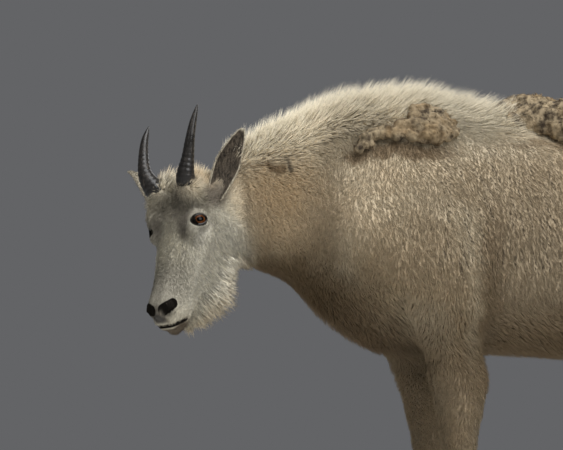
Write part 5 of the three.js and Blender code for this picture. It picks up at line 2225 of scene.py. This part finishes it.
@dataclass
class OldWool:
    """Matted wool as lumps fused to one mesh, with loose curls on it."""

    name: str
    seed: int
    lumps: list[Lump]
    voxel: float = 0.0022
    curl_gap: float = 8.0
    curl_lifts: tuple[float, float] = (46.0, -35.0)
    buds: int = 8

    def build(self, material: Material) -> None:
        """Makes the wool.

        Args:
            material: its finish.
        """
        draw = np.random.default_rng(self.seed)
        balls = []
        for lump in self.lumps:
            balls.append(lump)
            for _ in range(self.buds):
                way = unit(draw.normal(size=3) + 0.7 * lump.out)
                side = way - lump.out * (way @ lump.out) * (1 - lump.flat)
                at = lump.at + side * lump.size * draw.uniform(0.75, 0.98)
                balls.append(Lump(at, way, lump.size * draw.uniform(0.36, 0.58), draw.uniform(0.5, 0.8)))
        piece = loose(self._balls(balls, draw), self.name)
        modify(piece, "REMESH", mode="VOXEL", voxel_size=self.voxel)
        modify(piece, "SMOOTH", iterations=2)
        made = finished(piece, self.name)
        points = to_design(points_of(made))
        coarse, fine = (np.abs(ripple(points, size, self.seed + i)) for i, size in enumerate((13, 6)))
        rough = 1.2 * coarse + 0.7 * fine - 1.0
        points += points_of(made, "normal") * rough[:, None] * 1.2
        put_points(made, to_row(points))
        made.shade_smooth()
        # Painted shade and light: the wool is painted darker where it is pressed in and lighter where it
        # bulges.
        store(made, "shade", np.clip(0.9 + 0.22 * rough, 0.5, 1.15))
        show(made, self.name, material)
        self._curls(made, material, draw)

    def _balls(self, balls: list[Lump], draw: Draw) -> Mesh:
        """Joins many flattened balls into one mesh.

        Args:
            balls: the balls, in design millimetres.
            draw: the seeded draw.

        Returns:
            The mesh.
        """
        one = bmesh.new()
        bmesh.ops.create_icosphere(one, subdivisions=3, radius=1.0)
        points = np.array([v.co for v in one.verts])
        faces = np.array([[v.index for v in f.verts] for f in one.faces])
        one.free()
        placed, corners = [], []
        for i, lump in enumerate(balls):
            spin = Matrix.Rotation(draw.uniform(0, math.pi), 3, "Z")
            turn = np.array(Vector(lump.out).to_track_quat("Z", "Y").to_matrix() @ spin)
            wide = draw.uniform(0.85, 1.2)
            placed.append(lump.at + (points * lump.size * (wide, 1 / wide, lump.flat)) @ turn.T)
            corners.append(faces + i * len(points))
        mesh = bpy.data.meshes.new(self.name)
        mesh.from_pydata(to_row(np.concatenate(placed)).tolist(), [], np.concatenate(corners).tolist())
        return mesh

    def _curls(self, made: Mesh, material: Material, draw: Draw) -> None:
        """Sets loose curled wisps on the lumps.

        Args:
            made: the wool's mesh.
            material: its finish.
            draw: the seeded draw.
        """
        p, n = scatter(made, lambda p, n: np.full(len(p), self.curl_gap), draw)
        count = len(p)
        way = unit(along_skin(draw.normal(size=(count, 3)), n))
        start, end = (np.full(count, lift) for lift in self.curl_lifts)
        tufts = Tufts(
            p, n, way, draw.uniform(6, 14, count), start, end, draw.uniform(0.9, 1.6, count),
            draw.uniform(0.85, 1.15, count), np.zeros((count, 3)), wave=0.25, rings=3, sunk=0.6,
        )
        name = f"{self.name}_curls"
        spots = Unwrap(made, to_row(p)).spots(to_row(p))
        show(tufts.mesh(name, spots, draw), f"coat_{name}", material)


# The band's lumps: x, z and radius

SHOULDER_LUMPS = (
    (-416, 726, 10), (-404, 740, 14), (-390, 752, 14), (-370, 752, 15), (-352, 746, 14), (-346, 762, 14),
    (-330, 744, 14), (-322, 764, 16), (-308, 742, 16), (-296, 758, 17), (-286, 744, 15), (-272, 752, 16),
    (-318, 784, 14), (-302, 782, 15), (-284, 778, 16), (-266, 776, 15), (-252, 760, 13), (-250, 782, 12),
    (-310, 800, 13), (-292, 804, 14), (-272, 800, 14), (-256, 800, 11),
)


def shoulder_wool(body: Body) -> OldWool:
    """The wool that hangs in a curled band on the left shoulder.

    Args:
        body: the goat's shape.

    Returns:
        The wool, not yet built.
    """
    rows = np.array(SHOULDER_LUMPS, dtype=float)
    start = np.stack([rows[:, 0], np.zeros(len(rows)), rows[:, 1] - 34], axis=1)
    at, out = emerge(body.whole, start, np.tile([0.0, -1.0, 0.32], (len(rows), 1)))
    lumps = [Lump(p + n * 0.12 * s, n, s) for p, n, s in zip(at, out, rows[:, 2])]
    return OldWool("old_wool_shoulder", 5, lumps)


def back_wool(body: Body) -> OldWool:
    """The sheet of wool that lies over the back and hangs down its left side.

    Args:
        body: the goat's shape.

    Returns:
        The wool, not yet built.
    """
    draw = np.random.default_rng(23)
    along, across = np.repeat(np.linspace(0, 1, 12), 8), np.tile(np.linspace(0, 1, 8), 12)
    low = -0.3 - 0.42 * smooth(0.0, 0.4, along) * smooth(1.15, 0.85, along)
    high = 0.1 + 0.4 * smooth(0.0, 0.25, along)
    lean = low + (high - low) * across
    x = -120 + 240 * along + draw.uniform(-7, 7, len(along))
    start = np.stack([x, np.zeros(len(x)), np.full(len(x), 640.0)], axis=1)
    at, out = emerge(body.whole, start, np.stack([np.zeros(len(x)), lean, np.ones(len(x))], axis=1))
    rise = 14 + 20 * smooth(0.0, 0.12, along) * smooth(1.0, 0.6, along)
    rise *= 0.45 + 0.55 * smooth(0.0, 0.3, across)
    lumps = [
        Lump(p + n * (lift + draw.uniform(-2, 3)), n, draw.uniform(20, 25), 0.68)
        for share in (0.25, 1.0)
        for p, n, lift in zip(at, out, rise * share)
    ]
    return OldWool("old_wool_back", 23, lumps, voxel=0.0028, curl_gap=6.4, buds=7)


# Studio and making


@dataclass(frozen=True)
class SoftLight:
    """One large round light: where it hangs and what it faces in metres, its width and its watts."""

    name: str
    at: Triple
    to: Triple
    size: float
    power: float

    def hang(self) -> None:
        """Hangs the light."""
        light = bpy.data.lights.new(self.name, "AREA")
        light.shape = "DISK"
        light.size = self.size
        light.energy = self.power
        lamp = loose(light, self.name)
        lamp.location = self.at
        lamp.rotation_euler = (Vector(self.at) - Vector(self.to)).to_track_quat("Z", "Y").to_euler()


@dataclass
class Studio:
    """The plain floor, the soft lights and the camera."""

    azimuth: float = -14.5
    elevation: float = -7.0
    distance: float = 4000.0
    target: Triple = (-529.0, 0.0, 600.0)
    lens: float = 148.35
    grey: tuple[float, float, float, float] = (0.125, 0.127, 0.133, 1.0)
    floor_radius: float = 9.0
    lights: Sequence[SoftLight] = (
        SoftLight("top_light", (-0.3, -1.3, 3.3), (-0.3, 0.0, 0.5), 2.6, 78.0),
        SoftLight("front_light", (-3.2, -2.6, 2.2), (-0.4, 0.0, 0.6), 2.4, 8.0),
        SoftLight("side_light", (0.9, -3.4, 2.5), (-0.4, 0.0, 0.6), 2.2, 70.0),
        SoftLight("back_light", (2.2, 2.6, 2.6), (0.0, 0.0, 0.6), 2.4, 26.0),
    )

    def build(self, floor_material: Material) -> None:
        """Makes the whole studio.

        Args:
            floor_material: the finish of the floor.
        """
        self._floor(floor_material)
        for light in self.lights:
            light.hang()
        self._world()
        self._camera()

    def _floor(self, material: Material) -> None:
        """Lays the floor.

        Args:
            material: its finish.
        """
        ground = bmesh.new()
        bmesh.ops.create_circle(ground, cap_ends=True, segments=96, radius=self.floor_radius)
        mesh = bpy.data.meshes.new("floor")
        ground.to_mesh(mesh)
        ground.free()
        mesh.materials.append(material)
        loose(mesh, "floor")

    def _world(self) -> None:
        """Fills the studio with even grey light."""
        world = bpy.data.worlds.new("studio")
        world.use_nodes = True
        world.node_tree.nodes["Background"].inputs["Color"].default_value = self.grey
        bpy.context.scene.world = world
        bpy.context.scene.view_settings.view_transform = "Standard"

    def _camera(self) -> None:
        """Sets the camera at the photograph's angle."""
        data = bpy.data.cameras.new("camera")
        data.lens = self.lens
        data.sensor_width = 36.0
        data.clip_end = 40.0
        camera = loose(data, "camera")
        a, e = math.radians(self.azimuth), math.radians(self.elevation)
        back = Vector((math.sin(a) * math.cos(e), -math.cos(a) * math.cos(e), math.sin(e)))
        camera.location = Vector(to_row(np.array(self.target))) + back * self.distance * MM
        camera.rotation_euler = back.to_track_quat("Z", "Y").to_euler()
        bpy.context.scene.camera = camera


def main() -> None:
    """Builds the goat and its studio."""
    logging.basicConfig(level=logging.INFO, format="%(name)s: %(message)s")
    markings, hair = coat_markings(), short_hair()
    ear_finish, wool_finish = EarFinish().build(hair), WoolFinish().build()
    horn_finish, eye_finish, rim_finish = HORN_BLACK.build(), EyeFinish().build(), RimFinish().build()
    body = Body()
    skin = Skin(body)
    skin.build(SkinFinish().build(markings, hair))
    Coat(body, skin.mesh).build(CoatFinish().build(markings))
    for side in Side:
        Eye(side).build(eye_finish, rim_finish)
        Horn(side).build(horn_finish)
        ear = Ear(side)
        EarCoat(ear).build(ear.build(ear_finish).data, ear_finish)
    for wool in (shoulder_wool(body), back_wool(body)):
        wool.build(wool_finish)
    Feet().dress(HOOF_BLACK.build())
    Studio().build(FloorFinish().build())


if __name__ == "__main__":
    main()
